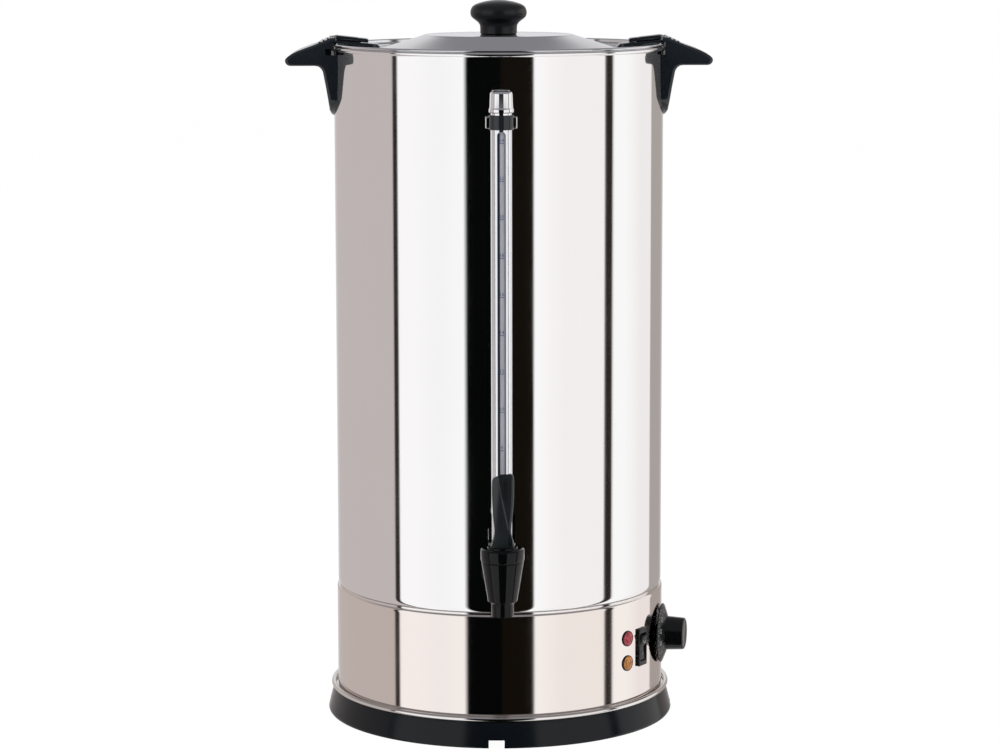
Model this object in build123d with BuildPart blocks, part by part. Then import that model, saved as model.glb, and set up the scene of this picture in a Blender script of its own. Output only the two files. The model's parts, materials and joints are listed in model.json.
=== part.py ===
"""Hot water urn: stainless tank on a heated base, with tap, sight gauge, side handles and a lift-off lid.

Millimetres. +Z is up, the floor is Z = 0 and the tank's axis is the Z axis.
The tap faces -Y, and the switch and thermostat dial are round to the right, towards +X.
"""

from build123d import *
from math import cos, radians, sin
import os

os.makedirs("parts", exist_ok=True)

# ---------------------------------------------------------------- driving dimensions
tank_radius = 142.5          # outside of the tank wall
sheet = 1.0                  # stainless sheet
rim_z = 584.8                # top of the tank's rolled rim
seam_z = 113.5               # joint between the tank and the base shell
floor_z = 130.0              # inside face of the tank floor
shell_radius = 143.5         # outside of the base shell
foot_radius = 152.0          # foot ring at the floor
foot_height = 21.5           # foot ring's height
handle_tip = 183.2           # reach of each handle from the axis
handle_half_width = 36.0
knob_radius = 24.4
knob_top_z = 624.4
tap_y = -187.0               # axis of the tap body
tap_inlet_z = 152.0          # axis of the tap's threaded inlet
gauge_y = -156.5             # axis of the sight gauge
gauge_top_z = 534.5          # top of the gauge's collar
lamp_azimuth = 49.2          # degrees from the front, towards +X
lamp_heights = {"red": 81.2, "amber": 59.6}
switch_azimuth = 57.7
switch_z = 70.2
dial_azimuth = 77.2
dial_z = 72.3
inlet_z = 62.0               # mains inlet, at the back

tank_inner = tank_radius - sheet
shell_inner = shell_radius - 0.9


def wall_plane(azimuth, radius, height):
    """Plane on the urn's wall: X to the right, Y up and Z outwards for someone facing it."""
    turn = radians(azimuth)
    return Plane(
        origin=(radius * sin(turn), -radius * cos(turn), height),
        x_dir=(cos(turn), sin(turn), 0),
        z_dir=(sin(turn), -cos(turn), 0),
    )


# ---------------------------------------------------------------- tank
rim_bead_height = 3.8
rim_bead_radius = 145.5
shank_hole = 11.2
handle_screw_places = [(0.0, 551.0), (-9.5, 566.0), (9.5, 566.0)]   # degrees off the handle, height
handle_screw_radius = 2.5
bracket_screw_z = 528.5
bracket_screw_radius = 2.0

with BuildPart() as tank:
    with BuildSketch(Plane.XZ):
        with BuildLine():
            Polyline(
                (tank_inner, rim_z - 2),
                (tank_radius, rim_z - 2),
                (tank_radius, seam_z + 6),
            )
            ThreePointArc(
                (tank_radius, seam_z + 6),
                (tank_radius - 0.5, seam_z + 2.6),
                (tank_radius - 2.0, seam_z + 0.6),
            )
            Polyline(
                (tank_radius - 2.0, seam_z + 0.6),
                (tank_radius - 2.0, seam_z - 9),
                (tank_radius - 3.0, seam_z - 9),
                (tank_radius - 3.0, seam_z + 1.2),
                (tank_inner, seam_z + 6),
                (tank_inner, rim_z - 2),
            )
        make_face()
        with Locations(((tank_inner + rim_bead_radius) / 2, rim_z - rim_bead_height / 2)):
            RectangleRounded(rim_bead_radius - tank_inner, rim_bead_height, 1.6)
    revolve(axis=Axis.Z)
    with BuildSketch(wall_plane(0, tank_inner - 4, tap_inlet_z)):
        Circle(shank_hole)
    extrude(amount=8, mode=Mode.SUBTRACT)
    with BuildSketch(wall_plane(0, tank_inner - 4, bracket_screw_z)):
        Circle(bracket_screw_radius + 0.2)
    extrude(amount=8, mode=Mode.SUBTRACT)
    for side in (90, -90):
        for offset_angle, height in handle_screw_places:
            with BuildSketch(wall_plane(side + offset_angle, tank_inner - 4, height)):
                Circle(handle_screw_radius + 0.2)
            extrude(amount=8, mode=Mode.SUBTRACT)
tank.part.label = "tank"
export_step(tank.part, "parts/tank.step")

# pressed floor with an upturned flange, welded inside the tank wall
floor_flange = 5.0
stud_radius = 2.5
stud_circle = 112.0
with BuildPart() as tank_floor:
    with BuildSketch(Plane.XZ):
        with BuildLine():
            Polyline(
                (0, floor_z),
                (tank_inner - sheet - 3, floor_z),
                (tank_inner - sheet, floor_z + 3),
                (tank_inner - sheet, floor_z + floor_flange),
                (tank_inner, floor_z + floor_flange),
                (tank_inner, floor_z + 2.4),
                (tank_inner - 3.4, floor_z - sheet),
                (0, floor_z - sheet),
                close=True,
            )
        make_face()
    revolve(axis=Axis.Z)
tank_floor.part.label = "tank_floor"
export_step(tank_floor.part, "parts/tank_floor.step")

# ---------------------------------------------------------------- base shell and its openings
trim_flange_top = foot_height + 1.0
lamp_hole = 6.2
switch_body_width, switch_body_height = 12.4, 27.6
dial_bush_radius = 5.0
inlet_body_width, inlet_body_height = 33.0, 24.0
with BuildPart() as base_shell:
    with BuildSketch(Plane.XZ):
        with BuildLine():
            Polyline(
                (tank_radius - 1.9, seam_z - 1.4),
                (tank_radius - 1.9, seam_z - 0.6),
                (shell_radius - 1.6, seam_z - 0.6),
            )
            ThreePointArc(
                (shell_radius - 1.6, seam_z - 0.6),
                (shell_radius - 0.45, seam_z - 1.1),
                (shell_radius, seam_z - 2.4),
            )
            Polyline(
                (shell_radius, seam_z - 2.4),
                (shell_radius, trim_flange_top),
                (shell_radius - 9, trim_flange_top),
                (shell_radius - 9, trim_flange_top + 0.9),
                (shell_inner, trim_flange_top + 0.9),
                (shell_inner, seam_z - 2.4),
                (shell_inner - 1.0, seam_z - 1.4),
                (tank_radius - 1.9, seam_z - 1.4),
            )
        make_face()
    revolve(axis=Axis.Z)
    for height in lamp_heights.values():
        with BuildSketch(wall_plane(lamp_azimuth, shell_radius - 6, height)):
            Circle(lamp_hole)
        extrude(amount=9, mode=Mode.SUBTRACT)
    with BuildSketch(wall_plane(switch_azimuth, shell_radius - 6, switch_z)):
        Rectangle(switch_body_width + 0.4, switch_body_height + 0.4)
    extrude(amount=9, mode=Mode.SUBTRACT)
    with BuildSketch(wall_plane(dial_azimuth, shell_radius - 6, dial_z)):
        Circle(dial_bush_radius + 0.1)
    extrude(amount=9, mode=Mode.SUBTRACT)
    with BuildSketch(wall_plane(180, shell_radius - 8, inlet_z)):
        Rectangle(inlet_body_width + 0.4, inlet_body_height + 0.4)
    extrude(amount=12, mode=Mode.SUBTRACT)
base_shell.part.label = "base_shell"
export_step(base_shell.part, "parts/base_shell.step")

# stainless trim ring with a rolled bead, trapped between the shell and the foot ring
bead_section = 2.1
bead_circle = 147.2
with BuildPart() as trim_ring:
    with BuildSketch(Plane.XZ):
        with BuildLine():
            Polyline(
                (shell_radius - 9, foot_height),
                (bead_circle, foot_height),
                (bead_circle + 0.4, foot_height + 1),
                (shell_radius - 9, foot_height + 1),
                close=True,
            )
        make_face()
        with Locations((bead_circle, foot_height + bead_section + 0.6)):
            Circle(bead_section)
    revolve(axis=Axis.Z)
trim_ring.part.label = "trim_ring"
export_step(trim_ring.part, "parts/trim_ring.step")

# moulded foot ring, flared towards the floor, with four drain notches
foot_notch_width, foot_notch_height = 13.4, 6.8
foot_flange_bottom = foot_height - 3.0
with BuildPart() as foot_ring:
    with BuildSketch(Plane.XZ):
        with BuildLine():
            Polyline(
                (foot_radius - 0.4, 4.0),
                (foot_radius - 5.0, foot_height),
                (shell_radius - 9.5, foot_height),
                (shell_radius - 9.5, foot_flange_bottom),
                (143.8, foot_flange_bottom),
                (144.4, foot_flange_bottom - 2),
                (foot_radius - 4.2, 0),
                (foot_radius - 0.8, 0),
            )
            ThreePointArc((foot_radius - 0.8, 0), (foot_radius, 2.0), (foot_radius - 0.4, 4.0))
        make_face()
    revolve(axis=Axis.Z)
    for turn in range(4):
        with BuildSketch(wall_plane(-1.8 + 90 * turn, foot_radius - 14, foot_notch_height / 2)):
            Rectangle(foot_notch_width, foot_notch_height)
        extrude(amount=20, mode=Mode.SUBTRACT)
foot_ring.part.label = "foot_ring"
export_step(foot_ring.part, "parts/foot_ring.step")

# bottom plate with vent slots, hung on three studs
plate_bottom = foot_flange_bottom - 1.2
button_place = (-45.0, 35.0)
button_radius = 3.5
with BuildPart() as bottom_plate:
    with BuildSketch(Plane.XY.offset(plate_bottom)):
        Circle(143.0)
        with PolarLocations(stud_circle, 3, start_angle=30):
            Circle(stud_radius + 0.3, mode=Mode.SUBTRACT)
        with Locations(button_place):
            Circle(button_radius + 2.0, mode=Mode.SUBTRACT)
        with PolarLocations(82, 12, start_angle=15):
            SlotOverall(26, 4, mode=Mode.SUBTRACT)
    extrude(amount=1.2)
bottom_plate.part.label = "bottom_plate"
export_step(bottom_plate.part, "parts/bottom_plate.step")

with BuildPart() as base_studs:
    with BuildSketch(Plane.XY.offset(11.5)):
        with PolarLocations(stud_circle, 3, start_angle=30):
            Circle(stud_radius)
    extrude(amount=floor_z - sheet - 11.5)
base_studs.part.label = "base_studs"
export_step(base_studs.part, "parts/base_studs.step")

with BuildPart() as base_nuts:
    with BuildSketch(Plane.XY.offset(plate_bottom - 4.0)):
        with PolarLocations(stud_circle, 3, start_angle=30):
            RegularPolygon(4.6, 6)
            Circle(stud_radius, mode=Mode.SUBTRACT)
    extrude(amount=4.0)
base_nuts.part.label = "base_nuts"
export_step(base_nuts.part, "parts/base_nuts.step")

# ---------------------------------------------------------------- heater under the tank floor
heater_plate_thickness = 6.0
heater_bottom = floor_z - sheet - heater_plate_thickness
element_radius = 4.0
element_circle = 62.0
with BuildPart() as heater_plate:
    with BuildSketch(Plane.XY.offset(heater_bottom)):
        Circle(84)
    extrude(amount=heater_plate_thickness)
heater_plate.part.label = "heater_plate"
export_step(heater_plate.part, "parts/heater_plate.step")

element_z = heater_bottom - element_radius
lead_turn = 8.0
with BuildPart() as heating_element:
    with BuildLine():
        element_ring = CenterArc((0, 0, element_z), element_circle, 110, 320)
    with BuildSketch(Plane(origin=element_ring @ 0, z_dir=element_ring % 0)):
        Circle(element_radius)
    sweep()
    for end in (element_ring @ 0, element_ring @ 1):
        with BuildSketch(Plane.XY.offset(element_z)):
            with Locations((end.X, end.Y)):
                Circle(element_radius)
        extrude(amount=-lead_turn)
        with BuildSketch(Plane.XY.offset(element_z - lead_turn)):
            with Locations((end.X, end.Y)):
                Circle(1.6)
        extrude(amount=-10)
heating_element.part.label = "heating_element"
export_step(heating_element.part, "parts/heating_element.step")

# ---------------------------------------------------------------- lid
lid_top_z = 594.8
plateau_radius = 66.0
flange_z = 583.0
hem_height = 2.2
hem_outer, hem_inner = 143.8, 139.6
lid_gap = 0.1                # the hem stands this far above the rim
hem_bottom = rim_z + lid_gap
skirt_bottom = 574.5
with BuildPart() as lid:
    with BuildSketch(Plane.XZ):
        with BuildLine():
            Polyline(
                (0, lid_top_z - sheet),
                (0, lid_top_z),
                (plateau_radius - 1.6, lid_top_z),
                (plateau_radius, lid_top_z - 0.9),
                (101.0, flange_z),
                (hem_inner, flange_z),
                (hem_inner, hem_bottom + 1),
                (hem_inner + sheet, hem_bottom + 1),
                (hem_inner + sheet, skirt_bottom),
                (hem_inner, skirt_bottom),
                (hem_inner, flange_z - sheet),
                (100.7, flange_z - sheet),
                (plateau_radius - 0.3, lid_top_z - 0.9 - sheet),
                (plateau_radius - 1.9, lid_top_z - sheet),
                (0, lid_top_z - sheet),
            )
        make_face()
        with Locations(((hem_inner + hem_outer) / 2, hem_bottom + hem_height / 2)):
            RectangleRounded(hem_outer - hem_inner, hem_height, 1.0)
    revolve(axis=Axis.Z)
    with BuildSketch(Plane.XY.offset(lid_top_z - 3)):
        Circle(2.6)
    extrude(amount=6, mode=Mode.SUBTRACT)
    with BuildSketch(Plane.XY.offset(flange_z - 3)):
        with Locations((110, 8.5), (110, -8.5), (-110, 8.5), (-110, -8.5)):
            Circle(1.6)
    extrude(amount=6, mode=Mode.SUBTRACT)
lid.part.label = "lid"
export_step(lid.part, "parts/lid.step")

knob_neck = 15.9
with BuildPart() as lid_knob:
    with BuildSketch(Plane.XZ):
        with BuildLine():
            Polyline((0, lid_top_z), (knob_neck, lid_top_z), (knob_neck, 601.6))
            Spline(
                (knob_neck, 601.6),
                (17.6, 604.6),
                (22.6, 608.6),
                (knob_radius, 612.4),
                (23.9, 616.3),
                tangents=((0, 1), (-0.35, 1)),
            )
            Spline(
                (23.9, 616.3),
                (22.2, 618.9),
                (16.5, 621.6),
                (0, knob_top_z),
                tangents=((-0.35, 1), (-1, 0)),
            )
            Line((0, knob_top_z), (0, lid_top_z))
        make_face()
    revolve(axis=Axis.Z)
    with BuildSketch(Plane.XY.offset(lid_top_z)):
        Circle(2.5)
    extrude(amount=15, mode=Mode.SUBTRACT)
lid_knob.part.label = "lid_knob"
export_step(lid_knob.part, "parts/lid_knob.step")

with BuildPart() as knob_screw:
    with BuildSketch(Plane.XY.offset(lid_top_z - sheet - 1.0 - 2.6)):
        Circle(4.8)
    extrude(amount=2.6)
    fillet(knob_screw.edges().group_by(Axis.Z)[0], 1.2)
    with BuildSketch(Plane.XY.offset(lid_top_z - sheet - 1.2)):
        Circle(2.4)
    extrude(amount=14)
knob_screw.part.label = "knob_screw"
export_step(knob_screw.part, "parts/knob_screw.step")

with BuildPart() as knob_washer:
    with BuildSketch(Plane.XY.offset(lid_top_z - sheet - 1.0)):
        Circle(9.0)
        Circle(2.6, mode=Mode.SUBTRACT)
    extrude(amount=1.0)
knob_washer.part.label = "knob_washer"
export_step(knob_washer.part, "parts/knob_washer.step")

# ---------------------------------------------------------------- lid clips and their sliding latches
clip_half_width = 13.0
clip_inner, clip_outer = 102.5, 143.3
clip_slope = (590.2 - 586.6) / (143.0 - 104.0)
tongue_bottom, tongue_top = 587.4, 588.9


def clip_top(reach):
    """Height of the clip's sloping top at this distance from the urn's axis."""
    return 586.6 + clip_slope * (reach - 104.0)


for side_name, side in (("right", 1), ("left", -1)):
    side_plane = Plane(origin=(0, 0, 0), x_dir=(side, 0, 0), z_dir=(0, -side, 0))
    with BuildPart() as lid_clip:
        with BuildSketch(side_plane):
            with BuildLine():
                Polyline(
                    (clip_inner, flange_z),
                    (138.6, flange_z),
                    (138.6, 587.2),
                    (clip_outer, 587.2),
                    (clip_outer, clip_top(clip_outer) - 0.6),
                    (clip_outer - 0.8, clip_top(clip_outer - 0.8)),
                    (clip_inner + 2.4, clip_top(clip_inner + 2.4)),
                    (clip_inner, flange_z + 1.6),
                    close=True,
                )
            make_face()
        extrude(amount=clip_half_width, both=True)
        fillet(
            lid_clip.edges().filter_by(Axis.Z).sort_by(lambda e: abs(e.center().X))[0:2], 7.0
        )
        # T-slot that the latch's tongue runs in
        with BuildSketch(Plane.XY.offset(tongue_bottom - 0.1)):
            with Locations((side * 132.0, 0)):
                Rectangle(26.0, 15.0)
        extrude(amount=tongue_top - tongue_bottom + 0.2, mode=Mode.SUBTRACT)
        with BuildSketch(Plane.XY.offset(tongue_top)):
            with Locations((side * 134.0, 0)):
                Rectangle(26.0, 11.0)
        extrude(amount=4, mode=Mode.SUBTRACT)
        with BuildSketch(Plane.XY.offset(flange_z)):
            with Locations((side * 110, 8.5), (side * 110, -8.5)):
                Circle(1.5)
        extrude(amount=2.6, mode=Mode.SUBTRACT)
    lid_clip.part.label = "lid_clip_" + side_name
    export_step(lid_clip.part, "parts/lid_clip_" + side_name + ".step")

    with BuildPart() as lid_latch:
        with BuildSketch(Plane.XY.offset(tongue_bottom)):
            with Locations((side * 132.2, 0)):
                Rectangle(21.6, 14.6)
        extrude(amount=tongue_top - tongue_bottom)
        with BuildSketch(Plane.XY.offset(tongue_top - 0.2)):
            with Locations((side * 130.5, 0)):
                Rectangle(17.0, 10.6)
        extrude(amount=2.4)
        with BuildSketch(side_plane):
            with BuildLine():
                Polyline(
                    (112.6, clip_top(112.6) + 0.6),
                    (139.8, clip_top(139.8) + 0.6),
                    (141.0, 592.2),
                    (140.2, 593.8),
                    (138.0, 594.1),
                    (121.4, 592.3),
                    (120.8, 591.6),
                    (120.0, 592.0),
                    (114.0, 591.3),
                    (112.2, 589.8),
                    close=True,
                )
            make_face()
        extrude(amount=9.5, both=True)
        fillet(
            lid_latch.edges().filter_by(Axis.Y).sort_by(lambda e: abs(e.center().X))[0:1], 0.8
        )
    lid_latch.part.label = "lid_latch_" + side_name
    export_step(lid_latch.part, "parts/lid_latch_" + side_name + ".step")

with BuildPart() as lid_clip_screws:
    with BuildSketch(Plane.XY.offset(flange_z - sheet - 1.8)):
        with Locations((110, 8.5), (110, -8.5), (-110, 8.5), (-110, -8.5)):
            Circle(2.9)
    extrude(amount=1.8)
    with BuildSketch(Plane.XY.offset(flange_z - sheet)):
        with Locations((110, 8.5), (110, -8.5), (-110, 8.5), (-110, -8.5)):
            Circle(1.5)
    extrude(amount=3.4)
lid_clip_screws.part.label = "lid_clip_screws"
export_step(lid_clip_screws.part, "parts/lid_clip_screws.step")

# ---------------------------------------------------------------- handles
# Each handle is one moulding: a leg that hugs the tank, and a hooked grip whose lip reaches in over the rim.
grip_bottom = 569.2
lip_inner, lip_bottom = 144.2, 589.6
groove_bottom = 578.4        # the groove clears the rim bead
groove_radius = 146.4
bay_half_width = 12.0        # the latch's tongue and wedge slide into a flat bay in the middle
bay_lip_reach, bay_wall_reach = 145.6, 149.0
window_depth = 7.0
for side_name, side in (("right", 1), ("left", -1)):
    side_plane = Plane(origin=(0, 0, 0), x_dir=(side, 0, 0), z_dir=(0, -side, 0))
    face_plane = wall_plane(90 * side, 100, 0)

    with BuildPart() as handle:
        with BuildSketch(side_plane):
            with BuildLine():
                Polyline(
                    (130, 593.4),
                    (130, 525.7),
                    (144.8, 525.7),
                    (145.8, 530.0),
                    (146.8, 541.0),
                    (148.4, 551.0),
                    (150.6, 563.0),
                )
                ThreePointArc((150.6, 563.0), (152.9, 567.3), (157.6, grip_bottom))
                Line((157.6, grip_bottom), (178.6, grip_bottom))
                ThreePointArc((178.6, grip_bottom), (181.9, 570.6), (handle_tip, 574.0))
                Spline(
                    (handle_tip, 574.0),
                    (180.8, 577.1),
                    (172.8, 581.7),
                    (159.1, 586.7),
                    (148.0, 591.2),
                    (lip_inner, 593.0),
                )
                Polyline((lip_inner, 593.0), (140, 593.4), (130, 593.4))
            make_face()
        extrude(amount=handle_half_width, both=True)
        with BuildSketch(face_plane):
            with BuildLine():
                right_edge = Polyline((33, 541), (36, 566), (36, 600))
                left_edge = Polyline((-33, 541), (-36, 566), (-36, 600))
                Line(left_edge @ 1, right_edge @ 1)
                ThreePointArc(left_edge @ 0, (0, 525.2), right_edge @ 0)
            make_face()
        extrude(amount=100, mode=Mode.INTERSECT)
        fillet(handle.edges().filter_by(Axis.Y).sort_by(lambda e: abs(e.center().X))[-3:], 1.0)
        # moulded hollow under the grip, with three webs
        with BuildSketch(side_plane):
            Polygon(
                (156.5, grip_bottom - 1),
                (156.5, 583.6),
                (166.5, 579.6),
                (177.5, 575.0),
                (177.5, grip_bottom - 1),
                align=None,
            )
        extrude(amount=handle_half_width - 3.0, both=True, mode=Mode.SUBTRACT)
        with BuildSketch(Plane.XY.offset(grip_bottom + 0.6)):
            with Locations((side * 167, -17), (side * 167, 0), (side * 167, 17)):
                Rectangle(22, 2.0)
        extrude(amount=7)
        # small ribs across the top, behind the lip
        with BuildSketch(side_plane):
            with Locations((146.2, 592.2), (149.8, 590.6), (153.4, 589.1)):
                Circle(0.9)
        extrude(amount=handle_half_width - 3, both=True)
        # square window at one end of the rim groove, the same way round on both handles
        with BuildSketch(side_plane.offset(-handle_half_width)):
            with Locations((145.1, 581.1)):
                Rectangle(6.8, 5.4)
        extrude(amount=window_depth, mode=Mode.SUBTRACT)
        # the inside follows the tank, with a groove round the rim and the lip over the lid's edge
        with BuildSketch(Plane.XY.offset(520)):
            Circle(tank_radius)
        extrude(amount=groove_bottom - 520, mode=Mode.SUBTRACT)
        with BuildSketch(Plane.XY.offset(groove_bottom)):
            Circle(groove_radius)
        extrude(amount=lip_bottom - groove_bottom, mode=Mode.SUBTRACT)
        with BuildSketch(Plane.XY.offset(lip_bottom)):
            Circle(lip_inner)
        extrude(amount=10, mode=Mode.SUBTRACT)
        # latch bay: flat sides, so that the straight tongue and wedge clear the curved groove and lip
        with BuildSketch(Plane.XY.offset(groove_bottom)):
            with Locations((side * bay_wall_reach / 2, 0)):
                Rectangle(bay_wall_reach, 2 * bay_half_width)
        extrude(amount=lip_bottom - groove_bottom, mode=Mode.SUBTRACT)
        with BuildSketch(Plane.XY.offset(lip_bottom)):
            with Locations((side * bay_lip_reach / 2, 0)):
                Rectangle(bay_lip_reach, 2 * bay_half_width)
        extrude(amount=10, mode=Mode.SUBTRACT)
        for offset_angle, height in handle_screw_places:
            with BuildSketch(wall_plane(90 * side + offset_angle, tank_radius - 4, height)):
                Circle(handle_screw_radius)
            extrude(amount=8.2, mode=Mode.SUBTRACT)
    handle.part.label = "handle_" + side_name
    export_step(handle.part, "parts/handle_" + side_name + ".step")

# domed screws from inside the tank, three to each handle
with BuildPart() as handle_screws:
    for side in (90, -90):
        for offset_angle, height in handle_screw_places:
            with BuildSketch(wall_plane(side + offset_angle, tank_inner - 3.1, height)):
                Circle(5.0)
            extrude(amount=3.0)
            with BuildSketch(wall_plane(side + offset_angle, tank_inner - 1.0, height)):
                Circle(handle_screw_radius)
            extrude(amount=5.6)
handle_screws.part.label = "handle_screws"
export_step(handle_screws.part, "parts/handle_screws.step")

# ---------------------------------------------------------------- tap
# Lever tap: the lever's foot bears on the bonnet, so tilting the lever lifts the stem and its seat cup.
tap_joint_z = 168.7          # joint between the tap body and its bonnet
bonnet_top_z = 179.8
bonnet_radius = 18.1
nozzle_bottom_z = 122.2
nozzle_bore = 6.0
chamber_radius = 9.6
seat_z = 141.7
spring_top_z = 169.7
boss_top_z = 178.0
cradle_top_z = 203.0
guard_radius = 8.75
shank_radius = 11.0
arm_radius = 11.0
boss_radius = 11.2
pin_z = 185.2
pin_radius = 1.6
stem_radius = 2.5

tap_front = Plane(origin=(0, tap_y, 0), x_dir=(1, 0, 0), z_dir=(0, -1, 0))
with BuildPart() as tap_body:
    with BuildSketch(tap_front):
        with BuildLine():
            Polyline(
                (0, nozzle_bottom_z),
                (8.3, nozzle_bottom_z),
                (9.3, nozzle_bottom_z + 1.0),
                (9.3, nozzle_bottom_z + 10.9),
                (12.4, nozzle_bottom_z + 13.3),
                (12.4, nozzle_bottom_z + 15.5),
                (17.4, tap_joint_z - 1.2),
                (17.4, tap_joint_z),
                (0, tap_joint_z),
                (0, nozzle_bottom_z),
            )
        make_face()
    revolve(axis=Axis((0, tap_y, 0), (0, 0, 1)))
    # inlet arm with its threaded shank and wall flange
    with BuildSketch(wall_plane(0, tank_radius - 15, tap_inlet_z)):
        Circle(shank_radius)
    extrude(amount=15 + 6)
    with BuildSketch(wall_plane(0, tank_radius + 1.6, tap_inlet_z)):
        Circle(17.0)
    extrude(amount=5.0)
    with BuildSketch(wall_plane(0, tank_radius + 6.6, tap_inlet_z)):
        Circle(17.0)
    with BuildSketch(wall_plane(0, tank_radius + 14, tap_inlet_z)):
        Circle(arm_radius)
    loft()
    with BuildSketch(wall_plane(0, tank_radius + 14, tap_inlet_z)):
        Circle(arm_radius)
    extrude(amount=-tap_y - tank_radius - 14)
    # upright boss that carries the sight gauge
    with BuildSketch(Plane.XY.offset(tap_inlet_z)):
        with Locations((0, gauge_y)):
            Circle(boss_radius)
    extrude(amount=boss_top_z - tap_inlet_z)
    # half-round cradle behind the gauge's sleeve
    with BuildSketch(Plane.XY.offset(boss_top_z)):
        with Locations((0, gauge_y)):
            Circle(11.0)
            Circle(guard_radius, mode=Mode.SUBTRACT)
        with Locations((0, gauge_y - 14.0)):
            Rectangle(30, 30, mode=Mode.SUBTRACT)
    extrude(amount=cradle_top_z - boss_top_z)
    # water ways
    with BuildSketch(Plane.XY.offset(seat_z)):
        with Locations((0, tap_y)):
            Circle(chamber_radius)
    extrude(amount=tap_joint_z - seat_z, mode=Mode.SUBTRACT)
    with BuildSketch(Plane.XY.offset(tap_joint_z - 6.2)):
        with Locations((0, tap_y)):
            Circle(14.6)
    extrude(amount=6.2, mode=Mode.SUBTRACT)
    with BuildSketch(Plane.XY.offset(nozzle_bottom_z)):
        with Locations((0, tap_y)):
            Circle(nozzle_bore)
    extrude(amount=seat_z - nozzle_bottom_z, mode=Mode.SUBTRACT)
    with BuildSketch(wall_plane(0, tank_radius - 15, tap_inlet_z)):
        Circle(7.0)
    extrude(amount=-tap_y - tank_radius + 15, mode=Mode.SUBTRACT)
    with BuildSketch(Plane.XY.offset(tap_inlet_z)):
        with Locations((0, gauge_y)):
            Circle(4.0)
    extrude(amount=boss_top_z - tap_inlet_z, mode=Mode.SUBTRACT)
tap_body.part.label = "tap_body"
export_step(tap_body.part, "parts/tap_body.step")

gasket_radius = 15.4
with BuildPart() as tap_gaskets:
    with BuildSketch(wall_plane(0, tank_radius - 1, tap_inlet_z)):
        Circle(gasket_radius)
        Circle(shank_radius, mode=Mode.SUBTRACT)
    extrude(amount=2.6)
    with BuildSketch(Plane.XY):
        Circle(tank_radius)
    extrude(amount=200, mode=Mode.SUBTRACT)
    with BuildSketch(wall_plane(0, tank_inner - 3.6, tap_inlet_z)):
        Circle(gasket_radius)
        Circle(shank_radius, mode=Mode.SUBTRACT)
    extrude(amount=2.7)
tap_gaskets.part.label = "tap_gaskets"
export_step(tap_gaskets.part, "parts/tap_gaskets.step")

with BuildPart() as tap_nut:
    with BuildSketch(wall_plane(0, tank_inner - 3.6 - 6.0, tap_inlet_z)):
        RegularPolygon(17.5, 6)
        Circle(shank_radius, mode=Mode.SUBTRACT)
    extrude(amount=6.0)
tap_nut.part.label = "tap_nut"
export_step(tap_nut.part, "parts/tap_nut.step")

with BuildPart() as tap_bonnet:
    with BuildSketch(tap_front):
        with BuildLine():
            Polyline(
                (stem_radius + 0.2, spring_top_z),
                (10.0, spring_top_z),
                (10.0, tap_joint_z - 6.0),
                (14.5, tap_joint_z - 6.0),
                (14.5, tap_joint_z),
                (17.4, tap_joint_z),
                (bonnet_radius, tap_joint_z + 1.0),
                (bonnet_radius, bonnet_top_z - 2.0),
            )
            ThreePointArc(
                (bonnet_radius, bonnet_top_z - 2.0),
                (bonnet_radius - 0.6, bonnet_top_z - 0.6),
                (bonnet_radius - 2.0, bonnet_top_z),
            )
            Polyline(
                (bonnet_radius - 2.0, bonnet_top_z),
                (12.4, bonnet_top_z),
                (12.2, bonnet_top_z + 1.1),
                (11.4, bonnet_top_z + 1.1),
                (11.2, bonnet_top_z),
                (stem_radius + 0.2, bonnet_top_z),
                (stem_radius + 0.2, spring_top_z),
            )
        make_face()
    revolve(axis=Axis((0, tap_y, 0), (0, 0, 1)))
tap_bonnet.part.label = "tap_bonnet"
export_step(tap_bonnet.part, "parts/tap_bonnet.step")

with BuildPart() as tap_stem:
    with BuildSketch(Plane.XY.offset(seat_z + 5.0)):
        with Locations((0, tap_y)):
            Circle(stem_radius)
    extrude(amount=pin_z + 3.4 - seat_z - 5.0)
    with BuildSketch(Plane.XY.offset(seat_z + 5.0)):
        with Locations((0, tap_y)):
            Circle(4.6)
    extrude(amount=2.0)
    with BuildSketch(Plane(origin=(0, tap_y, pin_z), x_dir=(0, 1, 0), z_dir=(1, 0, 0))):
        Circle(pin_radius)
    extrude(amount=6, both=True, mode=Mode.SUBTRACT)
tap_stem.part.label = "tap_stem"
export_step(tap_stem.part, "parts/tap_stem.step")

with BuildPart() as seat_cup:
    with BuildSketch(tap_front):
        Polygon(
            (0, seat_z + 0.1),
            (7.4, seat_z + 0.1),
            (8.6, seat_z + 2.0),
            (8.6, seat_z + 4.0),
            (6.6, seat_z + 10.0),
            (2.5, seat_z + 10.0),
            (2.5, seat_z + 7.0),
            (4.6, seat_z + 7.0),
            (4.6, seat_z + 5.0),
            (0, seat_z + 5.0),
            align=None,
        )
    revolve(axis=Axis((0, tap_y, 0), (0, 0, 1)))
seat_cup.part.label = "seat_cup"
export_step(seat_cup.part, "parts/seat_cup.step")

spring_bottom = seat_z + 10.0
spring_turns = 5
spring_wire = 0.6
spring_height = spring_top_z - spring_bottom - 2 * spring_wire
with BuildPart() as tap_spring:
    with BuildLine():
        spring_path = Helix(
            pitch=spring_height / spring_turns,
            height=spring_height,
            radius=5.6,
            center=(0, tap_y, spring_bottom + spring_wire),
        )
    with BuildSketch(Plane(origin=spring_path @ 0, z_dir=spring_path % 0)):
        Circle(spring_wire)
    sweep()
tap_spring.part.label = "tap_spring"
export_step(tap_spring.part, "parts/tap_spring.step")

with BuildPart() as lever_pin:
    with BuildSketch(Plane(origin=(0, tap_y, pin_z), x_dir=(0, 1, 0), z_dir=(1, 0, 0))):
        Circle(pin_radius)
    extrude(amount=8.8, both=True)
lever_pin.part.label = "lever_pin"
export_step(lever_pin.part, "parts/lever_pin.step")

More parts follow.
